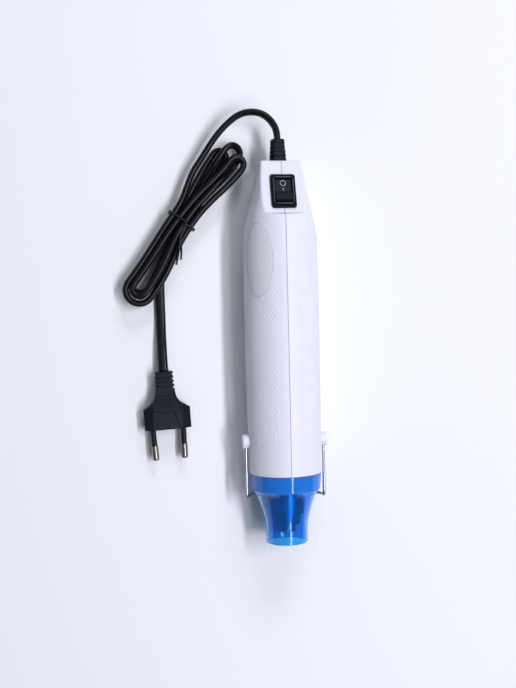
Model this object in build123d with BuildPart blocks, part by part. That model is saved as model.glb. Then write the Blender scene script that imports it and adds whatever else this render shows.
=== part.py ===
from build123d import *

import math
import os

# Embossing heat tool, in millimetres.
# The tool lies along Y with its nozzle towards -Y and its cord towards +Y, symmetrical about X = 0.
# It rests on Z = 0, and the origin is the bottom centre of the tool without its cord.
# A station is a distance from the casing's rear face towards the nozzle.

# Overall sizes
overrun = 1.0
seat_gap = 0.1
body_length = 229.0
boot_length = 14.0
casing_width = 44.8
casing_length = 186.8
tail_length = 48.0
wall = 2.0

# Switch panel on the tail
panel_start_height = 9.7
panel_length = 32.0
panel_rise = 9.5
panel_step_run = 4.5
panel_edge_radius = 1.6

# Casing seam and inner ribs
tongue_thickness = 0.6
tongue_height = 0.8
tongue_radius = 21.0
tongue_start = 75.0
tongue_end = 160.0
tongue_gap = 0.1
rib_thickness = 1.4
rib_depth = 2.8
screw_stations = [43.0, 104.0, 172.0]
screw_drop = 14.8
screw_radius = 1.3
screw_head_radius = 2.4
screw_head_height = 1.6
screw_length = 15.0
screw_bite = 7.0
boss_radius = 3.1
peg_radius = 1.5
peg_reach = 3.0
peg_boss_radius = 2.9
peg_stations = [135.0, 158.0]

# Air inlets in the tail
inlet_width = 1.3
inlet_height = 9.0
inlet_pitch = 2.3
inlet_count = 2
inlet_offset = 7.4
belly_inlet_pitch = 3.4
belly_inlet_count = 5
belly_inlet_length = 13.0
belly_inlet_station = 22.0

# Nozzle guard
guard_wall = 1.6
guard_collar_radius = 21.7
guard_collar_front_radius = 20.9
guard_collar_length = 9.7
guard_shoulder_radius = 18.5
guard_shoulder_length = 3.0
guard_neck_radius = 15.65
guard_neck_station = 206.8
guard_waist_radius = 13.3
guard_waist_station = 216.0
guard_mouth_radius = 12.6
guard_bore_radius = 11.3
guard_lip_radius = 0.5
guard_bore_length = 6.5
guard_spigot_length = 5.0
guard_spigot_radius = 19.35
guard_bead_radius = 20.1
guard_bead_width = 1.2
bead_gap = 0.15

# Heater
flange_radius = 19.9
flange_thickness = 2.0
flange_station = 112.0
barrel_radius = 10.5
barrel_sheet = 0.5
barrel_shoulder_station = 211.4
barrel_neck_radius = 8.5
barrel_neck_station = 217.5
barrel_tip_radius = 5.75
barrel_tip_station = 222.0
ring_radius = 19.4
ring_thickness = 1.5
ring_station = 178.0
ring_vent_radius = 3.0
ring_vent_count = 8
liner_thickness = 0.5
liner_length = 91.0
former_thickness = 0.8
former_half_width = 8.2
former_start = 122.0
former_length = 83.0
coil_radius = 8.7
coil_wire = 0.5
coil_turns = 7
coil_length = 72.0
cutout_radius = 2.0
cutout_length = 9.0
lead_wire_radius = 0.8
lead_wire_length = 15.0
lead_wire_height = 14.6
lead_wire_offset = 6.0

# Motor and fan
motor_radius = 12.0
motor_station = 55.0
motor_length = 25.0
motor_boss_radius = 3.0
motor_boss_length = 2.0
end_cap_radius = 11.6
end_cap_length = 3.5
shaft_radius = 1.0
shaft_start = 50.5
shaft_length = 46.0
shaft_gap = 0.04
fan_radius = 15.5
fan_hub_radius = 6.0
fan_station = 86.0
fan_length = 11.0
fan_blades = 7
fan_blade_thickness = 1.2
fan_twist = 32.0
housing_flange_length = 6.0
housing_flange_station = 57.0
sleeve_gap = 0.15
sleeve_thickness = 1.4
shroud_radius = 16.3
shroud_thickness = 1.2
shroud_end_station = 98.0
spoke_count = 6
spoke_width = 2.0
board_radius = 9.0
board_thickness = 1.5
board_gap = 0.3
diode_radius = 1.3
diode_length = 4.4
diode_offset = 4.6

# Switch
switch_place = 20.0
bezel_width = 15.0
bezel_length = 21.0
bezel_lift = 2.2
bezel_corner = 1.6
bezel_taper = 8.0
frame_width = 11.4
frame_length = 17.2
frame_lift = 0.6
switch_width = 12.9
switch_length = 18.9
switch_depth = 13.5
switch_gap = 0.15
switch_floor = 1.5
switch_window_width = 10.3
switch_window_length = 16.0
rocker_width = 9.7
rocker_half_length = 7.2
rocker_dip = 0.9
rocker_crest = 2.6
rocker_base = 1.0
rocker_valley_radius = 2.5
rocker_hub_radius = 2.2
rocker_stem_width = 1.6
rocker_stem_reach = 6.2
rocker_pin_radius = 1.0
rocker_pin_reach = 0.9
rocker_travel = 26.0
pin_gap = 0.05
contact_drop = 7.9
contact_half_length = 5.4
contact_width = 4.0
contact_thickness = 0.8
contact_travel = 13.0
knuckle_radius = 0.9
knuckle_gap = 0.08
terminal_width = 4.8
terminal_thickness = 0.8
terminal_reach = 7.0
terminal_spacing = 6.2

# Strain relief boot
boot_base_width = 10.0
boot_base_height = 11.0
boot_tip_width = 8.0
boot_tip_height = 9.0
boot_corner = 3.0
boot_drop = 1.3
boot_neck_gap = 0.2
boot_neck_inset = 1.6
boot_flange_thickness = 1.8
boot_slot_width = 1.3
boot_slot_depth = 1.9
boot_slot_pitch = 2.6
boot_slot_count = 4

# Cord and its clamp
cord_thickness = 3.4
cord_width = 5.9
cord_gap = 0.15
inner_cable_station = 10.5
clamp_station = 7.6
clamp_width = 4.2
clamp_thickness = 1.8
clamp_screw_spacing = 11.4
clamp_screw_radius = 1.1
clamp_screw_head = 1.9
clamp_screw_head_height = 1.2
clamp_screw_length = 8.0
clamp_boss_radius = 2.1
core_radius = 1.0
core_spread = 2.4
core_bend = 1.5
core_run = 2.5
core_dip = 6.9
core_fall_run = 6.0
core_reach = 13.5

# Wire stand
stand_wire_radius = 0.9
stand_pivot_station = 167.3
stand_leg_offset = 23.8
stand_corner_station = 202.0
stand_corner_radius = 2.5
stand_corner_drop = 3.0
stand_pin_bend = 1.0
stand_pin_start = 19.2
stand_bottom_radius = 26.0
stand_pad_radius = 4.2
stand_pad_reach = 22.75
stand_slot = 2.1
stand_pin_gap = 0.08
stand_cap_thickness = 0.85
stand_cap_wall = 0.8
stand_web_start = -40.0
stand_web_end = 150.0

# Plug
plug_length = 35.0
plug_width = 28.3
plug_thickness = 13.7
plug_flat_width = 17.6
plug_edge_height = 5.0
plug_block_length = 12.5
plug_boot_length = 12.0
plug_boot_front = 11.6
plug_boot_rear = 10.6
plug_boot_height = 9.0
plug_panel_length = 10.3
plug_panel_depth = 0.5
plug_rib_pitch = 2.6
plug_rib_count = 4
plug_rib_slot = 1.2
plug_rib_depth = 1.1
plug_edge_radius = 1.2
plug_turn = 3.2
pin_radius = 2.0
pin_bare_length = 9.0
pin_tip_radius = 1.2
sleeve_radius = 1.7
sleeve_length = 10.0
pin_core_radius = 1.3
pin_core_bite = 6.0
pin_base_spacing = 18.6
pin_tip_spacing = 17.5

# Twist tie round the hank
tie_radius = 0.6
tie_corner = 2.4
tie_clearance = 0.5
# tails of the tie, along and across the hank and above the table
tie_tails = [
    [(0.0, 3.0, 14.9), (-4.0, 3.9, 14.9), (-9.0, 4.6, 15.2), (-15.0, 9.0, 15.0), (-24.0, 12.8, 14.2)],
    [(0.0, 4.2, 14.9), (-4.0, 4.6, 14.9), (-10.5, 5.4, 15.6), (-14.5, 10.4, 14.6), (-19.8, 13.2, 14.0)],
]

# Cord route, chosen by hand: the arch from the boot to the hank, then the tail to the plug
arch_route = [
    (0.0, 121.5, 21.1),
    (0.0, 126.6, 21.1),
    (-2.8, 132.4, 20.7),
    (-7.6, 137.2, 19.8),
    (-14.6, 139.2, 18.4),
    (-22.4, 137.8, 16.8),
    (-29.2, 132.8, 15.2),
    (-35.4, 126.4, 13.6),
    (-40.8, 119.0, 12.2),
    (-46.0, 111.0, 11.3),
]
tail_route = [
    (-71.9, 42.4, 1.75),
    (-72.2, 30.0, 1.75),
    (-71.9, 17.0, 1.75),
    (-72.0, 5.5, 3.6),
    (-71.8, -5.5, 6.3),
    (-71.4, -16.8, 6.9),
]

# The hank: seven runs folded three times at the bottom and three times at the top.
# Places are along and across the bundle, heights are above the table.
hank_centre_x = -58.2
hank_centre_y = 74.6
hank_angle = 53.1
hank_knees = [8.0, 20.0, 32.0, 43.0]
hank_lift = 1.3
lead_in_share = 0.65
hank_start = [(20.0, -9.7, 10.6), (8.0, -6.4, 10.9)]
hank_end = [(-8.0, 4.9, 4.3), (-14.0, 5.8, 3.0)]
# across and height of each run beside the tie, on its bottom side and on its top side
slots_below = [(-6.2, 9.5), (6.5, 9.5), (-2.3, 10.0), (2.5, 10.3), (0.8, 3.0), (-4.0, 3.0)]
slots_above = [(6.1, 9.6), (-1.9, 9.9), (2.1, 9.7), (-0.1, 3.0), (-4.1, 3.0), (4.0, 3.0)]
# reach of each fold, across where it starts and ends, height where it starts and ends
folds_below = [(58.4, -7.3, 12.4, 10.2, 9.5), (53.8, -3.2, 8.3, 11.2, 13.8), (51.4, 7.3, -5.9, 6.5, 3.0)]
folds_above = [(54.2, 12.6, 2.8, 10.0, 10.8), (59.8, 7.2, -4.3, 3.0, 10.0), (51.6, -8.7, 0.3, 3.0, 3.0)]
# how far a run has spread and climbed from the tie to its fold at each knee
early_shares = [0, 0.45, 0.88, 1]
late_shares = [0, 0.25, 0.70, 1]
climb_early_shares = [0, 0.9, 1, 1]
climb_late_shares = [0, 0, 0.05, 0.97]
climb_over_shares = [0, 0.6, 1, 1]

# Tail sections: station as a share of the tail's length, half width and top as shares of the
# casing's half width, and the power of the section's roundness
tail_section_shares = [
    (0.00, 0.545, 0.625, 5.5),
    (0.25, 0.647, 0.812, 3.4),
    (0.50, 0.768, 0.937, 2.7),
    (0.75, 0.911, 0.995, 2.3),
]
section_points = 16
barrel_start_share = 0.991
barrel_middle_share = 1.0
barrel_end_share = 0.964

# Derived places
rear_y = (body_length + boot_length) / 2 - boot_length
axis_height = casing_width / 2
half_casing = casing_width / 2
side_plane = Plane(origin=(0, rear_y, axis_height), x_dir=(0, -1, 0), z_dir=(-1, 0, 0))
tool_axis = Axis(side_plane.origin, side_plane.x_dir)
rib_inner_radius = half_casing - wall - rib_depth


def station_plane(station):
    """Section plane across the tool at a station, seen from the nozzle side."""
    return Plane(origin=(0, rear_y - station, axis_height), x_dir=(1, 0, 0), z_dir=(0, -1, 0))


def across_plane(station, height, x=0.0):
    """Plane square to X at a station and a height above the axis, facing +X."""
    return Plane(origin=(x, rear_y - station, axis_height + height), x_dir=(0, 1, 0), z_dir=(1, 0, 0))


def section_outline(half_width, top, power, offset):
    """Points of a rounded casing section, its top half lower than its bottom half where asked."""
    points = []
    for index in range(section_points):
        angle = 2 * math.pi * index / section_points
        side, rise = math.cos(angle), math.sin(angle)
        x = (half_width - offset) * math.copysign(abs(side) ** (2 / power), side)
        reach = top if rise > 0 else half_width
        z = (reach - offset) * math.copysign(abs(rise) ** (2 / power), rise)
        points.append((x, z))
    return points


os.makedirs("parts", exist_ok=True)


def save(solid, name):
    """Label a finished piece and write its file."""
    solid.label = name
    export_step(solid, "parts/" + name + ".step")


def spun(points):
    """Revolved solid of an outline given as stations and radii."""
    with BuildPart() as solid:
        with BuildSketch(side_plane):
            with BuildLine():
                Polyline(*points, close=True)
            make_face()
        revolve(axis=tool_axis)
    return solid.part


def tube(start, length, outer, inner):
    """Plain ring or sleeve about the tool's axis."""
    with BuildPart() as solid:
        with BuildSketch(station_plane(start)):
            Circle(outer)
            Circle(inner, mode=Mode.SUBTRACT)
        extrude(amount=length)
    return solid.part


def run_radii(points):
    """Largest arc at each corner of a route that its two runs allow."""
    radii = []
    corners = [Vector(*point) for point in points]
    for before, corner, after in zip(corners, corners[1:], corners[2:]):
        turn = (corner - before).get_angle(after - corner)
        shorter = min((corner - before).length, (after - corner).length)
        radii.append(0.45 * shorter / math.tan(math.radians(turn / 2)))
    return radii


def cord_path(points):
    """Path of straight runs joined by arcs along a route."""
    with BuildLine() as path:
        FilletPolyline(*points, radius=run_radii(points))
    return path.wires()[0]


def cord_tube(points, form):
    """Cord along a route, flat on its edge or side or as a round core, and its path's length."""
    path = cord_path(points)
    heading = path % 0
    across = Vector(-heading.Y, heading.X, 0)
    with BuildPart() as cord:
        with BuildSketch(Plane(origin=path @ 0, x_dir=across, z_dir=heading)) as section:
            if form == "edge":
                SlotOverall(cord_width, cord_thickness, rotation=90)
            elif form == "side":
                SlotOverall(cord_width, cord_thickness)
            else:
                Circle(cord_thickness / 2)
        sweep(path=path)
    print("volume over section times length", round(cord.part.volume / (section.sketch.area * path.length), 3))
    return cord.part, path.length


def casing_form(offset, first_station, end_station):
    """Tail lofted from its sections and barrel revolved from an arc, drawn in by an offset."""
    start_radius = half_casing * barrel_start_share - offset
    middle_radius = half_casing * barrel_middle_share - offset
    end_radius = half_casing * barrel_end_share - offset
    with BuildPart() as form:
        for place_share, width_share, top_share, power in tail_section_shares:
            station = max(tail_length * place_share, first_station)
            points = section_outline(half_casing * width_share, half_casing * top_share, power, offset)
            with BuildSketch(station_plane(station)):
                with BuildLine():
                    Spline(*points, periodic=True)
                make_face()
        with BuildSketch(station_plane(tail_length)):
            Circle(start_radius)
        loft()
        with BuildSketch(side_plane):
            with BuildLine():
                ThreePointArc(
                    (tail_length, start_radius),
                    ((tail_length + casing_length) / 2, middle_radius),
                    (end_station, end_radius),
                )
                Polyline((end_station, end_radius), (end_station, 0), (tail_length, 0), (tail_length, start_radius))
            make_face()
        revolve(axis=tool_axis)
    return form.part


def panel_cutter(lowering):
    """Block above the switch panel, which slopes up from the rear and ends in a slanted step."""
    slope = panel_rise / panel_length
    drop = lowering * math.hypot(1, slope)
    height = panel_start_height - drop
    step_top = casing_width
    step_start = panel_length + lowering
    top_run = (step_top - height - slope * step_start) * panel_step_run / (half_casing - panel_rise)
    with BuildPart() as cutter:
        with BuildSketch(side_plane):
            with BuildLine():
                Polyline(
                    (-overrun, height - slope * overrun),
                    (step_start, height + slope * step_start),
                    (step_start + top_run, step_top),
                    (-overrun, step_top),
                    close=True,
                )
            make_face()
        extrude(amount=casing_width, both=True)
    return cutter.part


# Casing, whole, before it is split at the seam
panel_tilt = math.degrees(math.atan2(panel_rise, panel_length))
panel_normal = Vector(0, math.sin(math.radians(panel_tilt)), math.cos(math.radians(panel_tilt)))
panel_down = Vector(0, math.cos(math.radians(panel_tilt)), -math.sin(math.radians(panel_tilt)))
switch_origin = Vector(0, rear_y, axis_height + panel_start_height) - panel_down * switch_place
switch_plane = Plane(origin=switch_origin, x_dir=(1, 0, 0), z_dir=panel_normal)
boot_plane = Plane(
    origin=(0, rear_y, axis_height - boot_drop), x_dir=(-1, 0, 0), z_dir=(0, 1, 0)
)

with BuildPart() as casing_outer:
    add(casing_form(0, 0, casing_length))
    add(panel_cutter(0), mode=Mode.SUBTRACT)
    flats = casing_outer.faces().filter_by(GeomType.PLANE)
    panel_face = flats.sort_by(lambda face: (face.normal_at() - panel_normal).length)[0]
    fillet(panel_face.edges(), radius=panel_edge_radius)

with BuildPart() as casing_inner:
    add(casing_form(wall, wall, casing_length + overrun))
    add(panel_cutter(wall), mode=Mode.SUBTRACT)

rib_places = [
    housing_flange_station - rib_thickness - seat_gap,
    housing_flange_station + housing_flange_length + seat_gap,
    flange_station - rib_thickness - seat_gap,
    flange_station + flange_thickness + seat_gap,
    ring_station - rib_thickness - seat_gap,
    ring_station + ring_thickness + seat_gap,
]
head_seat = screw_length - screw_bite - screw_head_height

with BuildPart() as casing_ribs:
    for place in rib_places:
        with BuildSketch(station_plane(place)):
            Circle(half_casing)
            Circle(rib_inner_radius, mode=Mode.SUBTRACT)
        extrude(amount=rib_thickness)
    for place in screw_stations:
        with BuildSketch(across_plane(place, -screw_drop)):
            Circle(boss_radius)
        extrude(amount=half_casing, both=True)
    for place in peg_stations:
        with BuildSketch(across_plane(place, screw_drop + peg_boss_radius)):
            Circle(peg_boss_radius)
        extrude(amount=half_casing, both=True)
    add(casing_outer.part, mode=Mode.INTERSECT)

with BuildPart() as stand_pads:
    for side in (-1, 1):
        with BuildSketch(across_plane(stand_pivot_station, 0, side * stand_pad_reach)):
            Circle(stand_pad_radius)
        extrude(amount=-side * (wall + boss_radius))

with BuildPart() as casing:
    add(casing_outer.part)
    add(casing_inner.part, mode=Mode.SUBTRACT)
    add(casing_ribs.part)
    add(stand_pads.part)
    # opening of the switch
    with BuildSketch(switch_plane):
        Rectangle(switch_width + 2 * switch_gap, switch_length + 2 * switch_gap)
    extrude(amount=wall + panel_edge_radius, both=True, mode=Mode.SUBTRACT)
    # hole of the strain relief
    with BuildSketch(boot_plane):
        RectangleRounded(
            boot_base_width - 2 * boot_neck_inset + 2 * boot_neck_gap,
            boot_base_height - 2 * boot_neck_inset + 2 * boot_neck_gap,
            boot_corner / 2,
        )
    extrude(amount=-wall - overrun, mode=Mode.SUBTRACT)
    # air inlets beside the boot and under the tail
    for side in (-1, 1):
        for index in range(inlet_count):
            with BuildSketch(boot_plane):
                with Locations((side * (inlet_offset + index * inlet_pitch), 0)):
                    SlotOverall(inlet_height, inlet_width, rotation=90)
            extrude(amount=-wall - overrun, mode=Mode.SUBTRACT)
    belly_plane = Plane(origin=(0, rear_y - belly_inlet_station, 0), x_dir=(1, 0, 0), z_dir=(0, 0, 1))
    with BuildSketch(belly_plane):
        with GridLocations(0, belly_inlet_pitch, 1, belly_inlet_count):
            SlotOverall(belly_inlet_length, inlet_width)
    extrude(amount=half_casing - boss_radius, mode=Mode.SUBTRACT)
    # groove of the guard's bead
    add(
        tube(
            casing_length - guard_spigot_length - bead_gap,
            guard_bead_width + 2 * bead_gap,
            guard_bead_radius + bead_gap,
            guard_spigot_radius - wall,
        ),
        mode=Mode.SUBTRACT,
    )
    # holes of the stand's pins
    with BuildSketch(across_plane(stand_pivot_station, 0)):
        Circle(stand_wire_radius + stand_pin_gap)
    extrude(amount=half_casing + wall, both=True, mode=Mode.SUBTRACT)
    # seat of the heater flange
    add(
        tube(
            flange_station - seat_gap,
            flange_thickness + 2 * seat_gap,
            flange_radius + seat_gap,
            flange_radius - wall,
        ),
        mode=Mode.SUBTRACT,
    )

tongue_ring = tube(
    tongue_start,
    tongue_end - tongue_start,
    tongue_radius + tongue_thickness / 2,
    tongue_radius - tongue_thickness / 2,
)
groove_ring = tube(
    tongue_start - tongue_gap,
    tongue_end - tongue_start + 2 * tongue_gap,
    tongue_radius + tongue_thickness / 2 + tongue_gap,
    tongue_radius - tongue_thickness / 2 - tongue_gap,
)

with BuildPart() as seam_tongue:
    add(tongue_ring)
    with BuildSketch(across_plane(tongue_start, 0, -tongue_height)):
        Rectangle(2 * body_length, casing_width + wall)
    extrude(amount=2 * tongue_height, mode=Mode.INTERSECT)

with BuildPart() as seam_groove:
    add(groove_ring)
    with BuildSketch(across_plane(tongue_start, 0, -overrun)):
        Rectangle(2 * body_length, casing_width + wall)
    extrude(amount=overrun + tongue_height + tongue_gap, mode=Mode.INTERSECT)

# Left half: tongue, pegs, pilot holes of the screws and the cord clamp's posts
with BuildPart() as left_shell:
    add(casing.part)
    split(bisect_by=Plane.YZ, keep=Keep.BOTTOM)
    add(seam_tongue.part)
    for place in screw_stations:
        with BuildSketch(across_plane(place, -screw_drop)):
            Circle(screw_radius + seat_gap)
        extrude(amount=-screw_bite - seat_gap, mode=Mode.SUBTRACT)
    for place in peg_stations:
        with BuildSketch(across_plane(place, screw_drop + peg_boss_radius)):
            Circle(peg_radius)
        extrude(amount=peg_reach)
    clamp_face = cord_thickness / 2
    for side in (-1, 1):
        post_height = side * clamp_screw_spacing / 2 - boot_drop
        with BuildSketch(across_plane(clamp_station, post_height, clamp_face)):
            Circle(clamp_boss_radius)
        extrude(amount=-clamp_face - half_casing * tail_section_shares[0][1] + wall / 2)
        with BuildSketch(across_plane(clamp_station, post_height, clamp_face)):
            Circle(clamp_screw_radius + seat_gap)
        extrude(
            amount=-(clamp_screw_length - clamp_thickness) - seat_gap,
            mode=Mode.SUBTRACT,
        )
save(left_shell.part, "left_shell")

# Right half: groove, peg sockets and recessed screw entries
with BuildPart() as right_shell:
    add(casing.part)
    split(bisect_by=Plane.YZ, keep=Keep.TOP)
    add(seam_groove.part, mode=Mode.SUBTRACT)
    for place in screw_stations:
        with BuildSketch(across_plane(place, -screw_drop)):
            Circle(screw_radius + seat_gap)
        extrude(amount=half_casing, mode=Mode.SUBTRACT)
        with BuildSketch(across_plane(place, -screw_drop, head_seat)):
            Circle(screw_head_radius + seat_gap)
        extrude(amount=half_casing, mode=Mode.SUBTRACT)
    for place in peg_stations:
        with BuildSketch(across_plane(place, screw_drop + peg_boss_radius)):
            Circle(peg_radius + seat_gap)
        extrude(amount=peg_reach + seat_gap, mode=Mode.SUBTRACT)
save(right_shell.part, "right_shell")

# Casing screws, entered from the right half
with BuildPart() as casing_screws:
    for place in screw_stations:
        with BuildSketch(across_plane(place, -screw_drop, head_seat)):
            Circle(screw_radius)
        extrude(amount=-head_seat - screw_bite)
        with BuildSketch(across_plane(place, -screw_drop, head_seat)):
            Circle(screw_head_radius)
        extrude(amount=screw_head_height)
save(casing_screws.part, "casing_screws")

# Blue nozzle guard: collar, slanted shoulder, concave funnel and round mouth
guard_shoulder_station = casing_length + guard_collar_length + guard_shoulder_length
guard_rim_station = body_length
guard_profile = [
    (casing_length + guard_collar_length, guard_collar_front_radius),
    (guard_shoulder_station, guard_shoulder_radius),
    (guard_neck_station, guard_neck_radius),
    (guard_waist_station, guard_waist_radius),
    (guard_rim_station, guard_mouth_radius),
]
with BuildPart() as nozzle_guard:
    with BuildSketch(side_plane):
        with BuildLine():
            l1 = Polyline(
                (casing_length - guard_spigot_length, guard_spigot_radius),
                (casing_length, guard_spigot_radius),
                (casing_length, guard_collar_radius),
                guard_profile[0],
                guard_profile[1],
            )
            l2 = Spline(*guard_profile[1:], tangents=[(1, -0.5), (1, -0.03)])
            l3 = Line(guard_profile[4], (guard_rim_station, guard_bore_radius))
            l4 = Line(
                (guard_rim_station, guard_bore_radius),
                (guard_rim_station - guard_bore_length, guard_bore_radius),
            )
            l5 = Spline(
                (guard_rim_station - guard_bore_length, guard_bore_radius),
                (guard_waist_station, guard_waist_radius - guard_wall),
                (guard_neck_station, guard_neck_radius - guard_wall),
                (guard_shoulder_station - guard_wall / 2, guard_shoulder_radius - guard_wall),
                tangents=[(-1, 0), (-1, 0.5)],
            )
            l6 = Polyline(
                (guard_shoulder_station - guard_wall / 2, guard_shoulder_radius - guard_wall),
                (casing_length + guard_collar_length - guard_wall / 2, guard_collar_front_radius - guard_wall),
                (casing_length + guard_wall, guard_spigot_radius - guard_wall),
                (casing_length - guard_spigot_length, guard_spigot_radius - guard_wall),
                (casing_length - guard_spigot_length, guard_spigot_radius),
            )
        make_face()
    revolve(axis=tool_axis)
    add(
        tube(
            casing_length - guard_spigot_length,
            guard_bead_width,
            guard_bead_radius,
            guard_spigot_radius - guard_wall / 2,
        )
    )
    mouth_edges = nozzle_guard.edges().filter_by(GeomType.CIRCLE).group_by(Axis.Y)[0]
    fillet(mouth_edges, radius=guard_lip_radius)
save(nozzle_guard.part, "nozzle_guard")

# Heater: flange, barrel, spacer ring, mica liner, former, coil, cut-out and leads
flange_end = flange_station + flange_thickness
with BuildPart() as heater_flange:
    with BuildSketch(station_plane(flange_station)):
        Circle(flange_radius)
        Circle(former_half_width - former_thickness, mode=Mode.SUBTRACT)
        with Locations((-lead_wire_offset, lead_wire_height), (lead_wire_offset, lead_wire_height)):
            Circle(lead_wire_radius + seat_gap, mode=Mode.SUBTRACT)
    extrude(amount=flange_thickness)
save(heater_flange.part, "heater_flange")

with BuildPart() as heat_barrel:
    add(
        spun(
            [
                (flange_end, barrel_radius),
                (barrel_shoulder_station, barrel_radius),
                (barrel_shoulder_station, barrel_neck_radius),
                (barrel_neck_station, barrel_neck_radius),
                (barrel_neck_station, barrel_tip_radius),
                (barrel_tip_station, barrel_tip_radius),
                (barrel_tip_station, barrel_tip_radius - barrel_sheet),
                (barrel_neck_station - barrel_sheet, barrel_tip_radius - barrel_sheet),
                (barrel_neck_station - barrel_sheet, barrel_neck_radius - barrel_sheet),
                (barrel_shoulder_station - barrel_sheet, barrel_neck_radius - barrel_sheet),
                (barrel_shoulder_station - barrel_sheet, barrel_radius - barrel_sheet),
                (flange_end, barrel_radius - barrel_sheet),
            ]
        )
    )
save(heat_barrel.part, "heat_barrel")

with BuildPart() as barrel_ring:
    with BuildSketch(station_plane(ring_station)):
        Circle(ring_radius)
        Circle(barrel_radius + seat_gap, mode=Mode.SUBTRACT)
        with PolarLocations((ring_radius + barrel_radius) / 2, ring_vent_count):
            Circle(ring_vent_radius, mode=Mode.SUBTRACT)
    extrude(amount=ring_thickness)
save(barrel_ring.part, "barrel_ring")

liner_outer = barrel_radius - barrel_sheet - 2 * seat_gap
liner_station = flange_end + seat_gap
with BuildPart() as mica_liner:
    add(tube(liner_station, liner_length, liner_outer, liner_outer - liner_thickness))
save(mica_liner.part, "mica_liner")

with BuildPart() as mica_former:
    with BuildSketch(station_plane(liner_station)):
        Rectangle(2 * former_half_width, former_thickness)
        Rectangle(former_thickness, 2 * former_half_width)
    extrude(amount=former_start - liner_station + former_length)
save(mica_former.part, "mica_former")

with BuildPart() as heating_coil:
    coil_pitch = coil_length / coil_turns
    coil_origin = (0, rear_y - former_start - coil_wire, axis_height)
    with BuildLine() as coil_path:
        Helix(coil_pitch, coil_length, coil_radius, center=coil_origin, direction=(0, -1, 0))
    with BuildSketch(Plane(origin=coil_path.line @ 0, z_dir=coil_path.line % 0)):
        Rectangle(coil_wire, coil_wire)
    sweep(path=coil_path.line, is_frenet=True)
save(heating_coil.part, "heating_coil")

cutout_height = barrel_radius + cutout_radius + seat_gap
with BuildPart() as thermal_cutout:
    with BuildSketch(
        Plane(origin=(0, rear_y - flange_end - seat_gap, axis_height + cutout_height), z_dir=(0, -1, 0))
    ):
        Circle(cutout_radius)
    extrude(amount=cutout_length)
    fillet(thermal_cutout.edges().group_by(Axis.Y)[0], radius=cutout_radius / 2)
save(thermal_cutout.part, "thermal_cutout")

with BuildPart() as heater_leads:
    for side in (-1, 1):
        with BuildSketch(station_plane(flange_end + lead_wire_radius)):
            with Locations((side * lead_wire_offset, lead_wire_height)):
                Circle(lead_wire_radius)
        extrude(amount=-lead_wire_length)
save(heater_leads.part, "heater_leads")

# Fan housing: flange ring held by the casing, spokes, motor sleeve and fan shroud
sleeve_inner = motor_radius + sleeve_gap
sleeve_outer = sleeve_inner + sleeve_thickness
housing_radius = half_casing - wall - 4 * seat_gap
shroud_outer = shroud_radius + shroud_thickness
with BuildPart() as fan_housing:
    add(tube(housing_flange_station, housing_flange_length, housing_radius, shroud_radius))
    add(tube(housing_flange_station, motor_length - overrun, sleeve_outer, sleeve_inner))
    add(
        tube(
            housing_flange_station,
            shroud_end_station - housing_flange_station,
            shroud_outer,
            shroud_radius,
        )
    )
    with BuildSketch(station_plane(housing_flange_station)):
        with PolarLocations((sleeve_outer + shroud_radius) / 2, spoke_count):
            Rectangle(shroud_radius - sleeve_outer + overrun, spoke_width)
    extrude(amount=housing_flange_length)
save(fan_housing.part, "fan_housing")

with BuildPart() as motor_can:
    with BuildSketch(station_plane(motor_station)):
        Circle(motor_radius)
        Circle(shaft_radius + shaft_gap, mode=Mode.SUBTRACT)
    extrude(amount=motor_length)
    with BuildSketch(station_plane(motor_station + motor_length)):
        Circle(motor_boss_radius)
        Circle(shaft_radius + shaft_gap, mode=Mode.SUBTRACT)
    extrude(amount=motor_boss_length)
    can_rims = motor_can.edges().filter_by(GeomType.CIRCLE)
    front_rim = can_rims.filter_by(lambda edge: abs(edge.radius - motor_radius) < seat_gap)
    fillet(front_rim.sort_by(Axis.Y)[0], radius=shaft_radius)
save(motor_can.part, "motor_can")

with BuildPart() as motor_end_cap:
    with BuildSketch(station_plane(motor_station - end_cap_length)):
        Circle(end_cap_radius)
        Circle(shaft_radius + shaft_gap, mode=Mode.SUBTRACT)
    extrude(amount=end_cap_length)
    fillet(
        motor_end_cap.edges().filter_by(GeomType.CIRCLE).group_by(Axis.Y)[-1].sort_by(SortBy.RADIUS)[-1],
        radius=shaft_radius,
    )
save(motor_end_cap.part, "motor_end_cap")

with BuildPart() as motor_shaft:
    with BuildSketch(station_plane(shaft_start)):
        Circle(shaft_radius)
    extrude(amount=shaft_length)
save(motor_shaft.part, "motor_shaft")

# Fan: hub on the shaft with twisted blades
with BuildPart() as fan_blade:
    steps = 4
    for step in range(steps + 1):
        part_way = step / steps
        with BuildSketch(station_plane(fan_station + overrun + part_way * (fan_length - 2 * overrun))):
            with PolarLocations((fan_radius + fan_hub_radius) / 2, 1, start_angle=fan_twist * part_way):
                Rectangle(fan_radius - fan_hub_radius + fan_blade_thickness, fan_blade_thickness)
    loft(ruled=True)

with BuildPart() as fan_impeller:
    with BuildSketch(station_plane(fan_station)):
        Circle(fan_hub_radius)
    extrude(amount=fan_length)
    for index in range(fan_blades):
        add(fan_blade.part.rotate(tool_axis, 360 * index / fan_blades))
    with BuildSketch(station_plane(fan_station - overrun)):
        Circle(shaft_radius + shaft_gap)
    extrude(amount=fan_length + 2 * overrun, mode=Mode.SUBTRACT)
save(fan_impeller.part, "fan_impeller")

# Rectifier board on the motor's rear, with its diodes
board_station = motor_station - end_cap_length - board_gap - board_thickness
with BuildPart() as rectifier_board:
    with BuildSketch(station_plane(board_station)):
        Circle(board_radius)
        Circle(shaft_radius * 2, mode=Mode.SUBTRACT)
    extrude(amount=board_thickness)
save(rectifier_board.part, "rectifier_board")

with BuildPart() as diodes:
    with BuildSketch(station_plane(board_station)):
        with GridLocations(2 * diode_offset, 2 * diode_offset, 2, 2):
            Circle(diode_radius)
    extrude(amount=-diode_length)
save(diodes.part, "diodes")

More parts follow.
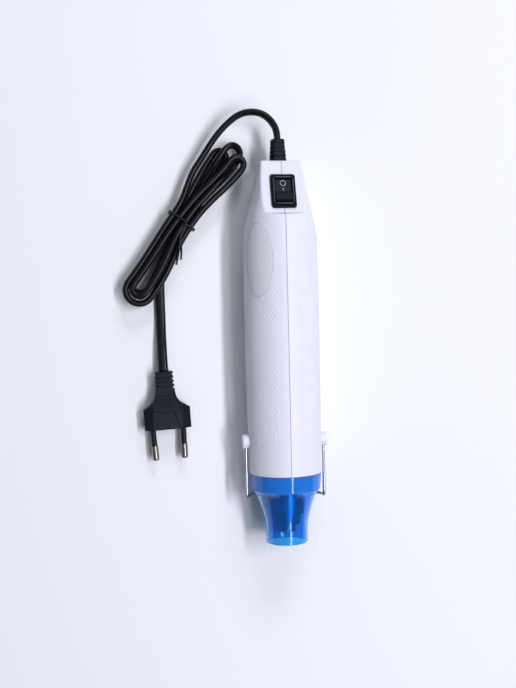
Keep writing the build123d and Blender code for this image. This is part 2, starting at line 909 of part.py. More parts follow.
# Strain relief boot: ribbed cone, neck through the wall and inner flange
neck_width = boot_base_width - 2 * boot_neck_inset
neck_height = boot_base_height - 2 * boot_neck_inset
with BuildPart() as strain_relief:
    with BuildSketch(boot_plane):
        RectangleRounded(boot_base_width, boot_base_height, boot_corner)
    with BuildSketch(boot_plane.offset(boot_length)):
        RectangleRounded(boot_tip_width, boot_tip_height, boot_corner)
    loft()
    for index in range(boot_slot_count):
        slot_place = (index + 1) * boot_slot_pitch
        for side in (-1, 1):
            for centre in (boot_base_width, -boot_base_width):
                with BuildSketch(boot_plane.offset(slot_place)):
                    with Locations((centre / 2, side * boot_base_height / 4)):
                        Rectangle(2 * boot_slot_depth, boot_base_height / 2 - boot_slot_depth)
                extrude(amount=boot_slot_width, mode=Mode.SUBTRACT)
            with BuildSketch(boot_plane.offset(slot_place)):
                with Locations((0, side * boot_base_height / 2)):
                    Rectangle(boot_base_width, 2 * boot_slot_depth)
            extrude(amount=boot_slot_width, mode=Mode.SUBTRACT)
    with BuildSketch(boot_plane):
        RectangleRounded(neck_width, neck_height, boot_corner / 2)
    extrude(amount=-wall - seat_gap)
    with BuildSketch(boot_plane.offset(-wall - seat_gap)):
        RectangleRounded(boot_base_width, boot_base_height, boot_corner)
    extrude(amount=-boot_flange_thickness)
    with BuildSketch(boot_plane.offset(boot_length + overrun)):
        SlotOverall(cord_width + 2 * cord_gap, cord_thickness + 2 * cord_gap, rotation=90)
    extrude(amount=-boot_length - wall - boot_flange_thickness - 2 * overrun, mode=Mode.SUBTRACT)
save(strain_relief.part, "strain_relief")

# Cord inside the tail, its cores to the switch, and its clamp
with BuildPart() as inner_cable:
    with BuildSketch(boot_plane.offset(boot_length)):
        SlotOverall(cord_width, cord_thickness, rotation=90)
    extrude(amount=-boot_length - inner_cable_station)
save(inner_cable.part, "inner_cable")

core_rise = core_radius + cord_gap
with BuildPart() as mains_cores:
    for side in (-1, 1):
        core_start = side * core_rise - boot_drop
        with BuildLine() as core_path:
            FilletPolyline(
                side_plane.from_local_coords((inner_cable_station, core_start, 0)),
                side_plane.from_local_coords((inner_cable_station + core_run, core_start, 0)),
                side_plane.from_local_coords(
                    (inner_cable_station + core_fall_run, -core_dip - boot_drop, -side * core_spread)
                ),
                side_plane.from_local_coords(
                    (inner_cable_station + core_reach, -core_dip - boot_drop, -side * core_spread)
                ),
                radius=core_bend,
            )
        core_wire = core_path.wires()[0]
        with BuildSketch(Plane(origin=core_wire @ 0, z_dir=core_wire % 0)):
            Circle(core_radius)
        sweep(path=core_wire)
save(mains_cores.part, "mains_cores")

with BuildPart() as cord_clamp:
    with BuildSketch(across_plane(clamp_station, -boot_drop, clamp_face + seat_gap)):
        SlotOverall(clamp_screw_spacing + clamp_width, clamp_width, rotation=90)
        with Locations((0, clamp_screw_spacing / 2), (0, -clamp_screw_spacing / 2)):
            Circle(clamp_screw_radius + seat_gap, mode=Mode.SUBTRACT)
    extrude(amount=clamp_thickness)
save(cord_clamp.part, "cord_clamp")

with BuildPart() as clamp_screws:
    for side in (-1, 1):
        screw_height = side * clamp_screw_spacing / 2 - boot_drop
        seat = clamp_face + seat_gap + clamp_thickness
        with BuildSketch(across_plane(clamp_station, screw_height, seat)):
            Circle(clamp_screw_radius)
        extrude(amount=-clamp_screw_length)
        with BuildSketch(across_plane(clamp_station, screw_height, seat)):
            Circle(clamp_screw_head)
        extrude(amount=clamp_screw_head_height)
save(clamp_screws.part, "clamp_screws")

# Switch body: bezel with raised inner frame, housing with an open well
with BuildPart() as switch_body:
    with BuildSketch(switch_plane):
        RectangleRounded(bezel_width, bezel_length, bezel_corner)
    extrude(amount=bezel_lift - frame_lift, taper=bezel_taper)
    with BuildSketch(switch_plane):
        RectangleRounded(frame_width + frame_lift, frame_length + frame_lift, bezel_corner)
    extrude(amount=bezel_lift)
    with BuildSketch(switch_plane):
        Rectangle(switch_width, switch_length)
    extrude(amount=-switch_depth)
    with BuildSketch(switch_plane.offset(bezel_lift)):
        Rectangle(switch_window_width, switch_window_length)
    extrude(amount=-bezel_lift - switch_depth + switch_floor, mode=Mode.SUBTRACT)
    with BuildSketch(Plane(origin=switch_origin, x_dir=panel_down, z_dir=(1, 0, 0))):
        Circle(rocker_pin_radius + pin_gap)
    extrude(amount=rocker_width / 2 + rocker_pin_reach + pin_gap, both=True, mode=Mode.SUBTRACT)
    with BuildSketch(switch_plane.offset(-switch_depth)):
        with GridLocations(0, terminal_spacing, 1, 3):
            Rectangle(terminal_width + 2 * pin_gap, terminal_thickness + 2 * pin_gap)
    extrude(amount=switch_floor, mode=Mode.SUBTRACT)
save(switch_body.part, "switch_body")

# Rocker, at rest with its O side pressed
rest_tilt = rocker_travel / 2
tilted_down = panel_down.rotate(Axis.X, -rest_tilt)
rocker_plane = Plane(origin=switch_origin, x_dir=tilted_down, z_dir=(1, 0, 0))
with BuildPart() as rocker:
    with BuildSketch(rocker_plane):
        with BuildLine():
            Polyline(
                (-rocker_half_length, -rocker_base),
                (rocker_half_length, -rocker_base),
                (rocker_half_length, rocker_crest),
            )
            FilletPolyline(
                (rocker_half_length, rocker_crest),
                (0, rocker_dip),
                (-rocker_half_length, rocker_crest),
                radius=rocker_valley_radius,
            )
            Line((-rocker_half_length, rocker_crest), (-rocker_half_length, -rocker_base))
        make_face()
    extrude(amount=rocker_width / 2, both=True)
    with BuildSketch(rocker_plane):
        Circle(rocker_hub_radius)
    extrude(amount=rocker_width / 2 - rocker_pin_reach, both=True)
    with BuildSketch(rocker_plane):
        with Locations((0, -rocker_stem_reach / 2)):
            SlotOverall(rocker_stem_reach + rocker_stem_width, rocker_stem_width, rotation=90)
    extrude(amount=rocker_stem_width, both=True)
    with BuildSketch(rocker_plane):
        Circle(rocker_pin_radius)
    extrude(amount=rocker_width / 2 + rocker_pin_reach, both=True)
save(rocker.part, "rocker")

# Moving contact, tilted the other way by the rocker's stem
contact_origin = switch_origin - panel_normal * contact_drop
contact_down = panel_down.rotate(Axis.X, contact_travel / 2)
with BuildPart() as moving_contact:
    with BuildSketch(Plane(origin=contact_origin, x_dir=contact_down, z_dir=(1, 0, 0))):
        with Locations((0, knuckle_radius / 2)):
            Rectangle(2 * contact_half_length, contact_thickness)
        Circle(knuckle_radius)
    extrude(amount=contact_width / 2, both=True)
save(moving_contact.part, "moving_contact")

# Terminals: the middle one carries the contact's knuckle, the outer ones lie under its ends
terminal_foot = switch_depth + terminal_reach
contact_fall = math.tan(math.radians(contact_travel / 2)) * (contact_half_length + terminal_thickness)
outer_top = contact_drop + contact_fall + knuckle_radius
with BuildPart() as switch_terminals:
    for place in (-1, 0, 1):
        top = outer_top if place else contact_drop
        with BuildSketch(switch_plane.offset(-terminal_foot)):
            with Locations((0, place * terminal_spacing)):
                Rectangle(terminal_width, terminal_thickness)
        extrude(amount=terminal_foot - top)
    with BuildSketch(switch_plane.offset(-contact_drop - 2 * knuckle_radius)):
        Rectangle(terminal_width, 3 * knuckle_radius)
    extrude(amount=2 * knuckle_radius)
    with BuildSketch(Plane(origin=contact_origin, x_dir=panel_down, z_dir=(1, 0, 0))):
        Circle(knuckle_radius + knuckle_gap)
    extrude(amount=terminal_width, both=True, mode=Mode.SUBTRACT)
    with BuildSketch(switch_plane.offset(-contact_drop)):
        Rectangle(2 * terminal_width, 3 * knuckle_radius)
    extrude(amount=-knuckle_radius * math.sin(math.radians(contact_travel)), mode=Mode.SUBTRACT)
save(switch_terminals.part, "switch_terminals")

# Wire stand: two pins, two legs and a bar whose side arcs meet the bottom arc smoothly
bar_depth = axis_height - stand_wire_radius
bottom_centre = stand_bottom_radius - bar_depth
fall = bottom_centre + stand_corner_drop
bar_gain = stand_bottom_radius**2 - stand_leg_offset**2 - fall**2
side_arc_radius = bar_gain / (2 * (stand_bottom_radius - stand_leg_offset))
side_centre_x = stand_leg_offset - side_arc_radius
join_angle = math.atan2(-fall, side_centre_x)
bar_y = rear_y - stand_corner_station


def bar_point(centre_x, centre_height, radius, angle):
    """Point of the stand's bar on an arc about a centre in its upright plane."""
    x = centre_x + radius * math.cos(angle)
    return (x, bar_y, axis_height + centre_height + radius * math.sin(angle))


with BuildPart() as stand_wire:
    with BuildLine() as half_bar:
        pin_y = rear_y - stand_pivot_station
        legs = FilletPolyline(
            (stand_pin_start, pin_y, axis_height),
            (stand_leg_offset, pin_y, axis_height),
            (stand_leg_offset, bar_y, axis_height),
            (stand_leg_offset, bar_y, axis_height - stand_corner_drop),
            radius=[stand_pin_bend, stand_corner_radius],
        )
        side_arc = ThreePointArc(
            bar_point(side_centre_x, -stand_corner_drop, side_arc_radius, 0),
            bar_point(side_centre_x, -stand_corner_drop, side_arc_radius, join_angle / 2),
            bar_point(side_centre_x, -stand_corner_drop, side_arc_radius, join_angle),
        )
        ThreePointArc(
            bar_point(0, bottom_centre, stand_bottom_radius, join_angle),
            bar_point(0, bottom_centre, stand_bottom_radius, -math.pi / 2),
            bar_point(0, bottom_centre, stand_bottom_radius, -math.pi - join_angle),
        )
        mirror(legs, about=Plane.YZ)
        mirror(side_arc, about=Plane.YZ)
    stand_path = Wire(half_bar.line.edges())
    with BuildSketch(Plane(origin=(stand_pin_start, pin_y, axis_height), z_dir=(1, 0, 0))):
        Circle(stand_wire_radius)
    sweep(path=stand_path)
save(stand_wire.part, "stand_wire")

# Stand caps: a disc outside each leg with a web that leaves the leg's swing free
with BuildPart() as stand_caps:
    web_mid = math.radians((stand_web_start + stand_web_end) / 2)
    for side in (-1, 1):
        with BuildSketch(across_plane(stand_pivot_station, 0, side * stand_pad_reach)):
            Circle(stand_pad_radius)
            Circle(stand_pad_radius - stand_cap_wall, mode=Mode.SUBTRACT)
            with BuildLine():
                far = 2 * stand_pad_radius
                Polyline(
                    (0, 0),
                    (far * math.cos(math.radians(stand_web_start)), far * math.sin(math.radians(stand_web_start))),
                    (far * math.cos(web_mid), far * math.sin(web_mid)),
                    (far * math.cos(math.radians(stand_web_end)), far * math.sin(math.radians(stand_web_end))),
                    close=True,
                )
            make_face(mode=Mode.INTERSECT)
        extrude(amount=side * stand_slot)
        with BuildSketch(across_plane(stand_pivot_station, 0, side * (stand_pad_reach + stand_slot))):
            Circle(stand_pad_radius)
        extrude(amount=side * stand_cap_thickness)
save(stand_caps.part, "stand_caps")


def hank_place(along, across, height):
    """Place on the table of a point given along and across the hank."""
    turn = math.radians(hank_angle)
    x = hank_centre_x + along * math.cos(turn) + across * math.sin(turn)
    y = hank_centre_y + along * math.sin(turn) - across * math.cos(turn)
    return (x, y, height)


def knee_points(slot, side, level, sign, spread_shares, climb_shares):
    """Points of a half run from the tie to its fold."""
    points = []
    for knee, spread, climb in zip(hank_knees, spread_shares, climb_shares):
        across = slot[0] + spread * (side - slot[0])
        tied_level = slot[1] + hank_lift
        points.append((sign * knee, across, tied_level + climb * (level - tied_level)))
    return points


def fold_points(fold, sign):
    """Three corners of a fold that turns by half a turn."""
    reach, entry, leave, entry_level, leave_level = fold
    radius = abs(leave - entry) / 2
    corner_turn = math.pi / 6
    side = radius * math.tan(corner_turn)
    crown = radius / math.cos(corner_turn)
    centre = reach - radius
    return [
        (sign * (centre + side), entry, entry_level),
        (sign * (centre + crown), (entry + leave) / 2, (entry_level + leave_level) / 2),
        (sign * (centre + side), leave, leave_level),
    ]


def hank_points():
    """Route of the hank, run by run, in its own frame."""
    points = list(hank_start)
    for index in range(3):
        first, second = 2 * index, 2 * index + 1
        below, above = folds_below[index], folds_above[index]
        over_tail = index == 2
        spread = late_shares if over_tail else early_shares
        climb = climb_over_shares if over_tail else climb_early_shares
        points += knee_points(slots_below[first], below[1], below[3], -1, spread, climb)
        points += fold_points(below, -1)
        points += knee_points(slots_below[second], below[2], below[4], -1, early_shares, climb_early_shares)[::-1]
        spread = early_shares if over_tail else late_shares
        points += knee_points(slots_above[second - 1], above[1], above[3], 1, spread, climb_late_shares)
        points += fold_points(above, 1)
        spread = late_shares if index == 0 else early_shares
        climb = climb_early_shares if index == 0 else climb_late_shares
        points += knee_points(slots_above[second], above[2], above[4], 1, spread, climb)[::-1]
    return points + list(hank_end)


def least_gap(points):
    """Least clear distance between passes of the hank, measured on points of its path."""
    path = cord_path(points)
    count = int(path.length / (cord_thickness / 2))
    places = [path @ (index / count) for index in range(count + 1)]
    apart = 9
    best = path.length
    for index, place in enumerate(places):
        for other in places[index + apart:]:
            flat = math.hypot(other.X - place.X, other.Y - place.Y) - cord_thickness
            tall = abs(other.Z - place.Z) - cord_width
            best = min(best, max(flat, tall))
    return best


# Cord: arch to the hank, the hank's seven runs, and the tail to the plug
hank_route = [hank_place(*point) for point in hank_points()]
start, second = Vector(*hank_route[0]), Vector(*hank_route[1])
lead_in = start + (start - second) * lead_in_share
lead_route = arch_route + [tuple(lead_in), tuple(start)]
end_route = [hank_route[-1]] + tail_route

cord_length = 0
for name, route, form in (
    ("cord_lead", lead_route, "edge"),
    ("cord_hank", hank_route, "core"),
    ("cord_tail", end_route, "side"),
):
    print(name, "radii", [round(radius, 1) for radius in run_radii(route)])
    solid, length = cord_tube(route, form)
    cord_length += length
    print(name, "length", round(length, 1))
    save(solid, name)
print("whole cord outside the tool", round(cord_length, 1))
print("least gap of the hank", round(least_gap(hank_route), 2))

# Twist tie: a loop round the hank and its two twisted tails
tie_half = max(abs(slots_above[0][0]), abs(slots_below[0][0])) + cord_thickness / 2 + tie_clearance + tie_radius
tie_top = slots_above[1][1] + hank_lift + cord_width / 2 + tie_clearance + tie_radius
tie_plane = Plane(
    origin=hank_place(0, 0, 0),
    x_dir=Vector(*hank_place(0, 1, 0)) - Vector(*hank_place(0, 0, 0)),
    z_dir=Vector(*hank_place(1, 0, 0)) - Vector(*hank_place(0, 0, 0)),
)
with BuildPart() as hank_tie:
    with BuildLine() as tie_path:
        FilletPolyline(
            hank_place(0, -tie_half, tie_radius),
            hank_place(0, tie_half, tie_radius),
            hank_place(0, tie_half, tie_top),
            hank_place(0, -tie_half, tie_top),
            radius=tie_corner,
            close=True,
        )
    tie_wire = tie_path.wires()[0]
    with BuildSketch(Plane(origin=tie_wire @ 0, z_dir=tie_wire % 0)):
        Circle(tie_radius)
    sweep(path=tie_wire)
    # twisted tails lying along the top of the hank
    for tail in tie_tails:
        with BuildLine() as tail_path:
            FilletPolyline(*[hank_place(*point) for point in tail], radius=run_radii(tail))
        tail_wire = tail_path.wires()[0]
        with BuildSketch(Plane(origin=tail_wire @ 0, z_dir=tail_wire % 0)):
            Circle(tie_radius)
        sweep(path=tail_wire)
save(hank_tie.part, "hank_tie")

# Plug: ribbed neck, concave flare and a block of flattened hexagon section
plug_end = Vector(*tail_route[-1])
plug_plane = Plane(origin=plug_end, x_dir=(1, 0, 0), z_dir=(0, 0, 1)).rotated((0, 0, plug_turn))
half_plug = plug_width / 2
half_flat = plug_flat_width / 2
block_back = -plug_length + plug_block_length
flare_back = -plug_boot_length
with BuildPart() as plug_block:
    # plan: straight block, concave flare, neck narrowing to the cord
    with BuildSketch(plug_plane):
        with BuildLine():
            Polyline(
                (half_plug, block_back),
                (half_plug, -plug_length),
                (-half_plug, -plug_length),
                (-half_plug, block_back),
            )
            Spline(
                (-half_plug, block_back),
                (-plug_boot_front / 2, flare_back),
                tangents=[(0.9, 0.5), (0.05, 1)],
            )
            Polyline(
                (-plug_boot_front / 2, flare_back),
                (-plug_boot_rear / 2, 0),
                (plug_boot_rear / 2, 0),
                (plug_boot_front / 2, flare_back),
            )
            Spline(
                (plug_boot_front / 2, flare_back),
                (half_plug, block_back),
                tangents=[(0.05, -1), (0.9, -0.5)],
            )
        make_face()
    extrude(amount=plug_thickness / 2, both=True)
    # side: the neck is thinner than the block
    side_view = Plane(origin=plug_end, x_dir=plug_plane.y_dir, z_dir=plug_plane.x_dir)
    with BuildSketch(side_view):
        with BuildLine():
            Polyline(
                (-plug_length, -plug_thickness / 2),
                (block_back, -plug_thickness / 2),
                (flare_back, -plug_boot_height / 2),
                (0, -plug_boot_height / 2),
                (0, plug_boot_height / 2),
                (flare_back, plug_boot_height / 2),
                (block_back, plug_thickness / 2),
                (-plug_length, plug_thickness / 2),
                close=True,
            )
        make_face()
    extrude(amount=half_plug + overrun, both=True, mode=Mode.INTERSECT)
    # section: a flattened hexagon with low upright edges
    end_view = Plane(origin=plug_end, x_dir=plug_plane.x_dir, z_dir=-plug_plane.y_dir)
    with BuildSketch(end_view):
        with BuildLine():
            Polyline(
                (half_flat, plug_thickness / 2),
                (half_plug, plug_edge_height / 2),
                (half_plug, -plug_edge_height / 2),
                (half_flat, -plug_thickness / 2),
                (-half_flat, -plug_thickness / 2),
                (-half_plug, -plug_edge_height / 2),
                (-half_plug, plug_edge_height / 2),
                (-half_flat, plug_thickness / 2),
                close=True,
            )
        make_face()
    extrude(amount=plug_length, mode=Mode.INTERSECT)
    # grip slots of the neck
    for index in range(plug_rib_count):
        place = -(index + 1) * plug_rib_pitch + plug_rib_slot / 2
        with BuildSketch(plug_plane):
            for side in (-1, 1):
                with Locations((side * plug_boot_front / 2, place)):
                    Rectangle(2 * plug_rib_depth, plug_rib_slot)
        extrude(amount=plug_boot_height, both=True, mode=Mode.SUBTRACT)
    # sunk grip panels on both flat faces
    for side in (-1, 1):
        with BuildSketch(plug_plane.offset(side * (plug_thickness / 2))):
            with BuildLine():
                Polyline(
                    (half_flat - plug_edge_radius, -plug_length - overrun),
                    (half_flat / 2, -plug_length + plug_panel_length),
                    (-half_flat / 2, -plug_length + plug_panel_length),
                    (-half_flat + plug_edge_radius, -plug_length - overrun),
                    close=True,
                )
            make_face()
        extrude(amount=-side * plug_panel_depth, mode=Mode.SUBTRACT)


def pin_plane(side, reach):
    """Plane square to a plug pin, at a reach beyond the plug's front face."""
    lean = math.atan2((pin_base_spacing - pin_tip_spacing) / 2, sleeve_length + pin_bare_length)
    base = Vector(side * pin_base_spacing / 2, -plug_length, 0)
    along = Vector(-side * math.sin(lean), -math.cos(lean), 0)
    place = plug_plane.from_local_coords(base + along * reach)
    foot = plug_plane.from_local_coords(base)
    tip = plug_plane.from_local_coords(base + along)
    return Plane(origin=place, z_dir=tip - foot)


with BuildPart() as plug_pins:
    for side in (-1, 1):
        with BuildSketch(pin_plane(side, -pin_core_bite)):
            Circle(pin_core_radius)
        extrude(amount=pin_core_bite + sleeve_length)
        with BuildSketch(pin_plane(side, sleeve_length)):
            Circle(pin_radius)
        extrude(amount=pin_bare_length)
    tips = plug_pins.edges().filter_by(GeomType.CIRCLE).sort_by(Axis.Y)[0:2]
    fillet(tips, radius=pin_tip_radius)
save(plug_pins.part, "plug_pins")

with BuildPart() as pin_sleeves:
    for side in (-1, 1):
        with BuildSketch(pin_plane(side, seat_gap)):
            Circle(sleeve_radius)
            Circle(pin_core_radius + seat_gap / 2, mode=Mode.SUBTRACT)
        extrude(amount=sleeve_length - seat_gap)
save(pin_sleeves.part, "pin_sleeves")

with BuildPart() as pin_holes:
    for side in (-1, 1):
        with BuildSketch(pin_plane(side, overrun)):
            Circle(pin_core_radius + seat_gap / 2)
        extrude(amount=-pin_core_bite - overrun - seat_gap)

with BuildPart() as plug_body:
    add(plug_block.part)
    add(pin_holes.part, mode=Mode.SUBTRACT)
save(plug_body.part, "plug_body")
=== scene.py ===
"""Embossing heat tool: finishes, cord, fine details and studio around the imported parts."""

from __future__ import annotations

import logging
import math
from dataclasses import dataclass, field, replace
from enum import Enum
from functools import partial

import bmesh
import bpy
from mathutils import Matrix, Vector
from mathutils.bvhtree import BVHTree


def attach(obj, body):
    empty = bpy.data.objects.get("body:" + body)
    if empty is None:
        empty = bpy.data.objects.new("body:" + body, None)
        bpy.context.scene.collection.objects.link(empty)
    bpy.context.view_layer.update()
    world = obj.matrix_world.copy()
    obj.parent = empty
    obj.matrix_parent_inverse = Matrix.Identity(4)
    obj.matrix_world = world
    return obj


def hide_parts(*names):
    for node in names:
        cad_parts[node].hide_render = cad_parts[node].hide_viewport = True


Tree = bpy.types.NodeTree
Node = bpy.types.Node
Socket = bpy.types.NodeSocket
Mesh = bpy.types.Mesh
Piece = bpy.types.Object
Pair = tuple[float, float]
Triple = tuple[float, float, float]
Outline = list[Pair]

log = logging.getLogger("heat_tool")

MM = 0.001
REAR_Y = 107.5
AXIS_HEIGHT = 22.4
WELD_METRES = 1e-7
CLOSEST_POINTS = 0.05

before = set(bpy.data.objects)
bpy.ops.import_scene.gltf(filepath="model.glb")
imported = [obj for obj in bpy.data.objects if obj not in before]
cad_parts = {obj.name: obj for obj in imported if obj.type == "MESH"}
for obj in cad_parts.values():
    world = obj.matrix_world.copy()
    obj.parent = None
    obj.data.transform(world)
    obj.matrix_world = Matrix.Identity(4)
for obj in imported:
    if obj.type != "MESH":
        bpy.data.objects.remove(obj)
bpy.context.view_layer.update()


class Grain(Enum):
    """How a surface was made, which decides its fine relief."""

    MOULDED = "moulded"
    SPARKED = "spark eroded mould"
    DRAWN = "drawn wire"
    SHEET = "rolled sheet"
    FLAKE = "flakes"


class Lay(Enum):
    """Side of the casing that a grip panel covers."""

    LEFT = -1
    RIGHT = 1


def linear(colour: str) -> tuple[float, float, float, float]:
    """Turn an sRGB hex colour into a linear one.

    Args:
        colour: Six hex digits after a hash.

    Returns:
        Red, green and blue in linear light, and an alpha of one.
    """
    parts = [int(colour[index : index + 2], 16) / 255 for index in (1, 3, 5)]
    tones = [part / 12.92 if part <= 0.04045 else ((part + 0.055) / 1.055) ** 2.4 for part in parts]
    return (tones[0], tones[1], tones[2], 1.0)


def add_node(tree: Tree, kind: str, settings: dict | None = None, links: dict | None = None) -> Node:
    """Add one node to a tree.

    Args:
        tree: Tree that gets the node.
        kind: The node's type.
        settings: Properties by name, and values of input sockets by name or number.
        links: Output sockets that feed the node's inputs, by input name or number.

    Returns:
        The new node.
    """
    node = tree.nodes.new(kind)
    for name, value in (settings or {}).items():
        if isinstance(name, int) or name in node.inputs:
            node.inputs[name].default_value = value
        else:
            setattr(node, name, value)
    for name, source in (links or {}).items():
        tree.links.new(source, node.inputs[name])
    return node


@dataclass(frozen=True)
class Finish:
    """One real surface: what it is made of and how it was made.

    Grain sizes and depths are real millimetres. The colour and its tint, in patches of many grains, are what
    the eye sees in white light.
    """

    name: str
    colour: str
    tint: str
    roughness: float
    grain_size: float
    grain_depth: float
    ior: float = 1.5
    gloss: float = 0.5
    metallic: float = 0.0
    grain: Grain = Grain.MOULDED
    grain_axis: Triple = (1.0, 1.0, 1.0)
    grains_a_patch: float = 14.0
    patch_detail: float = 3.0
    rounding: float = 0.0
    rounding_samples: int = 4

    def material(self) -> bpy.types.Material:
        """Build the finish's material, once.

        Returns:
            The material.
        """
        made = bpy.data.materials.get(self.name)
        if made is not None:
            return made
        made = bpy.data.materials.new(self.name)
        made.use_nodes = True
        tree = made.node_tree
        tree.nodes.clear()
        settings = {"Roughness": self.roughness, "Metallic": self.metallic}
        if not self.metallic:
            settings |= {"IOR": self.ior, "Specular IOR Level": self.gloss}
        shader = add_node(tree, "ShaderNodeBsdfPrincipled", settings)
        place = add_node(tree, "ShaderNodeTexCoord").outputs["Object"]
        colour, height = self.pattern(tree, place)
        tree.links.new(colour, shader.inputs["Base Color"])
        self.relief(tree, shader, height)
        self.extra(tree, shader, place)
        add_node(tree, "ShaderNodeOutputMaterial", {}, {"Surface": shader.outputs[0]})
        return made

    def pattern(self, tree: Tree, place: Socket) -> tuple[Socket, Socket]:
        """Build the colour and the height of the surface's grain.

        Args:
            tree: The material's tree.
            place: Object coordinates, in metres.

        Returns:
            The colour socket and the height socket.
        """
        drawn_out = {"Scale": self.grain_axis}
        turned = add_node(tree, "ShaderNodeMapping", drawn_out, {"Vector": place}).outputs[0]
        scale = 1 / (self.grain_size * MM)
        cells = self.grain in (Grain.FLAKE, Grain.SPARKED)
        kind = "ShaderNodeTexVoronoi" if cells else "ShaderNodeTexNoise"
        fine = add_node(tree, kind, {"Scale": scale}, {"Vector": turned}).outputs[0]
        patches = {"Scale": scale / self.grains_a_patch, "Detail": self.patch_detail}
        broad = add_node(tree, "ShaderNodeTexNoise", patches, {"Vector": turned}).outputs[0]
        tints = {"data_type": "RGBA", 6: linear(self.colour), 7: linear(self.tint)}
        return add_node(tree, "ShaderNodeMix", tints, {0: broad}).outputs[2], fine

    def relief(self, tree: Tree, shader: Node, height: Socket) -> None:
        """Feed the grain's relief and softly rounded edges to the shader's normal.

        Args:
            tree: The material's tree.
            shader: The surface shader.
            height: Height of the grain.
        """
        depth = {"Distance": self.grain_depth * MM, "Strength": 1.0}
        bump = add_node(tree, "ShaderNodeBump", depth, {"Height": height})
        if self.rounding:
            edges = {"samples": self.rounding_samples, "Radius": self.rounding * MM}
            bevel = add_node(tree, "ShaderNodeBevel", edges)
            tree.links.new(bevel.outputs[0], bump.inputs["Normal"])
        tree.links.new(bump.outputs[0], shader.inputs["Normal"])

    def extra(self, tree: Tree, shader: Node, place: Socket) -> None:
        """Add what only some finishes have, nothing here."""


@dataclass(frozen=True)
class Metal(Finish):
    """A bare or plated metal."""

    metallic: float = 1.0
    grain: Grain = Grain.SHEET


@dataclass(frozen=True)
class CasingFinish(Finish):
    """Moulded ABS of the casing: satin, with a fine dark line where the two halves meet."""

    seam_colour: str = "#A9ABBB"
    seam_half_width: float = 0.16
    seam_fade: float = 0.12

    def extra(self, tree: Tree, shader: Node, place: Socket) -> None:
        """Draw the seam by the distance from the casing's middle plane.

        Args:
            tree: The material's tree.
            shader: The surface shader.
            place: Object coordinates, in metres.
        """
        across = add_node(tree, "ShaderNodeSeparateXYZ", {}, {0: place}).outputs["X"]
        distance = add_node(tree, "ShaderNodeMath", {"operation": "ABSOLUTE"}, {0: across}).outputs[0]
        limits = {
            "From Min": self.seam_half_width * MM,
            "From Max": (self.seam_half_width + self.seam_fade) * MM,
            "To Min": 1.0,
            "To Max": 0.0,
        }
        near = add_node(tree, "ShaderNodeMapRange", limits, {"Value": distance}).outputs[0]
        base = shader.inputs["Base Color"].links[0].from_socket
        seam = {"data_type": "RGBA", 7: linear(self.seam_colour)}
        mixed = add_node(tree, "ShaderNodeMix", seam, {0: near, 6: base}).outputs[2]
        tree.links.new(mixed, shader.inputs["Base Color"])


@dataclass(frozen=True)
class ClearFinish(Finish):
    """Injection-moulded clear polycarbonate, tinted blue: denser to the eye at the thick collar."""

    collar_colour: str = "#086EEA"
    collar_front: float = -88.9
    collar_fade: float = 1.2
    collar_cover: float = 0.72

    def extra(self, tree: Tree, shader: Node, place: Socket) -> None:
        """Let light through the funnel, and fill the collar with its own colour.

        Args:
            tree: The material's tree.
            shader: The surface shader.
            place: Object coordinates, in metres.
        """
        along = add_node(tree, "ShaderNodeSeparateXYZ", {}, {0: place}).outputs["Y"]
        limits = {
            "From Min": (self.collar_front - self.collar_fade) * MM,
            "From Max": self.collar_front * MM,
            "To Min": 1.0,
            "To Max": 1.0 - self.collar_cover,
        }
        clear = add_node(tree, "ShaderNodeMapRange", limits, {"Value": along}).outputs[0]
        tree.links.new(clear, shader.inputs["Transmission Weight"])
        base = shader.inputs["Base Color"].links[0].from_socket
        collar = {"data_type": "RGBA", 6: linear(self.collar_colour)}
        mixed = add_node(tree, "ShaderNodeMix", collar, {0: clear, 7: base}).outputs[2]
        tree.links.new(mixed, shader.inputs["Base Color"])


# Each finish: name, colour, tint, roughness, its grain's size and depth in millimetres, then IOR and gloss.
# Casing: moulded ABS gives a satin white with a cool cast
CASING = CasingFinish("abs_casing_white", "#E6E8F3", "#E2E4F0", 0.44, 0.5, 0.002, 1.54, 0.3, rounding=0.5)
# Stand caps: the same plastic without the seam
GRIP = Finish("abs_grip_white", "#E6E8F3", "#E2E4F0", 0.5, 0.5, 0.002, 1.54, 0.3, rounding=0.3)
# Raised diamonds of the grip: the same plastic, with crisp cut edges
NET = replace(GRIP, name="abs_net_white", rounding=0.0)
# Label plate: polyester film gives a satin silver grey
LABEL = Finish("polyester_label_silver", "#E2E4EA", "#DCDFE6", 0.34, 0.3, 0.002, 1.6, 0.4)
# Line round the label: grey painted shade at the film's edge, standing in for the plate's thin edge shadow
LABEL_EDGE_SHADE = Finish("label_line_grey", "#9DA1AC", "#A3A7B2", 0.4, 0.3, 0.002, 1.5, 0.3)
# Guard: clear polycarbonate tinted blue gives deep blue where it is seen on edge
GUARD = ClearFinish("polycarbonate_guard_blue", "#3AB0F8", "#40ADF2", 0.05, 4.0, 0.01, 1.585, 0.4)
# Switch: nylon from a polished mould gives a dark satin black
SWITCH = Finish("nylon_switch_black", "#0A0C12", "#12151B", 0.42, 0.25, 0.004, 1.53, 0.05, rounding=0.3)
ROCKER = Finish("nylon_rocker_black", "#14161D", "#1B1E25", 0.4, 0.25, 0.003, 1.53, 0.12, rounding=0.35)
# Lip round the rocker: the same nylon, painted a lighter grey as a highlight along its edge
LIP_HIGHLIGHT = Finish("nylon_lip_grey", "#3C404A", "#343841", 0.36, 0.25, 0.002, 1.53, 0.5)
# Marks on the rocker: pad-printed paint gives a dull off-white
MARKS = Finish("pad_print_white", "#A9AEB8", "#9EA4AE", 0.5, 0.2, 0.003, 1.5)
# Plug and boot: moulded PVC gives a soft matt black
PLUG = Finish("pvc_moulded_black", "#10131B", "#151822", 0.46, 0.35, 0.008, 1.53, 0.16, rounding=0.7)
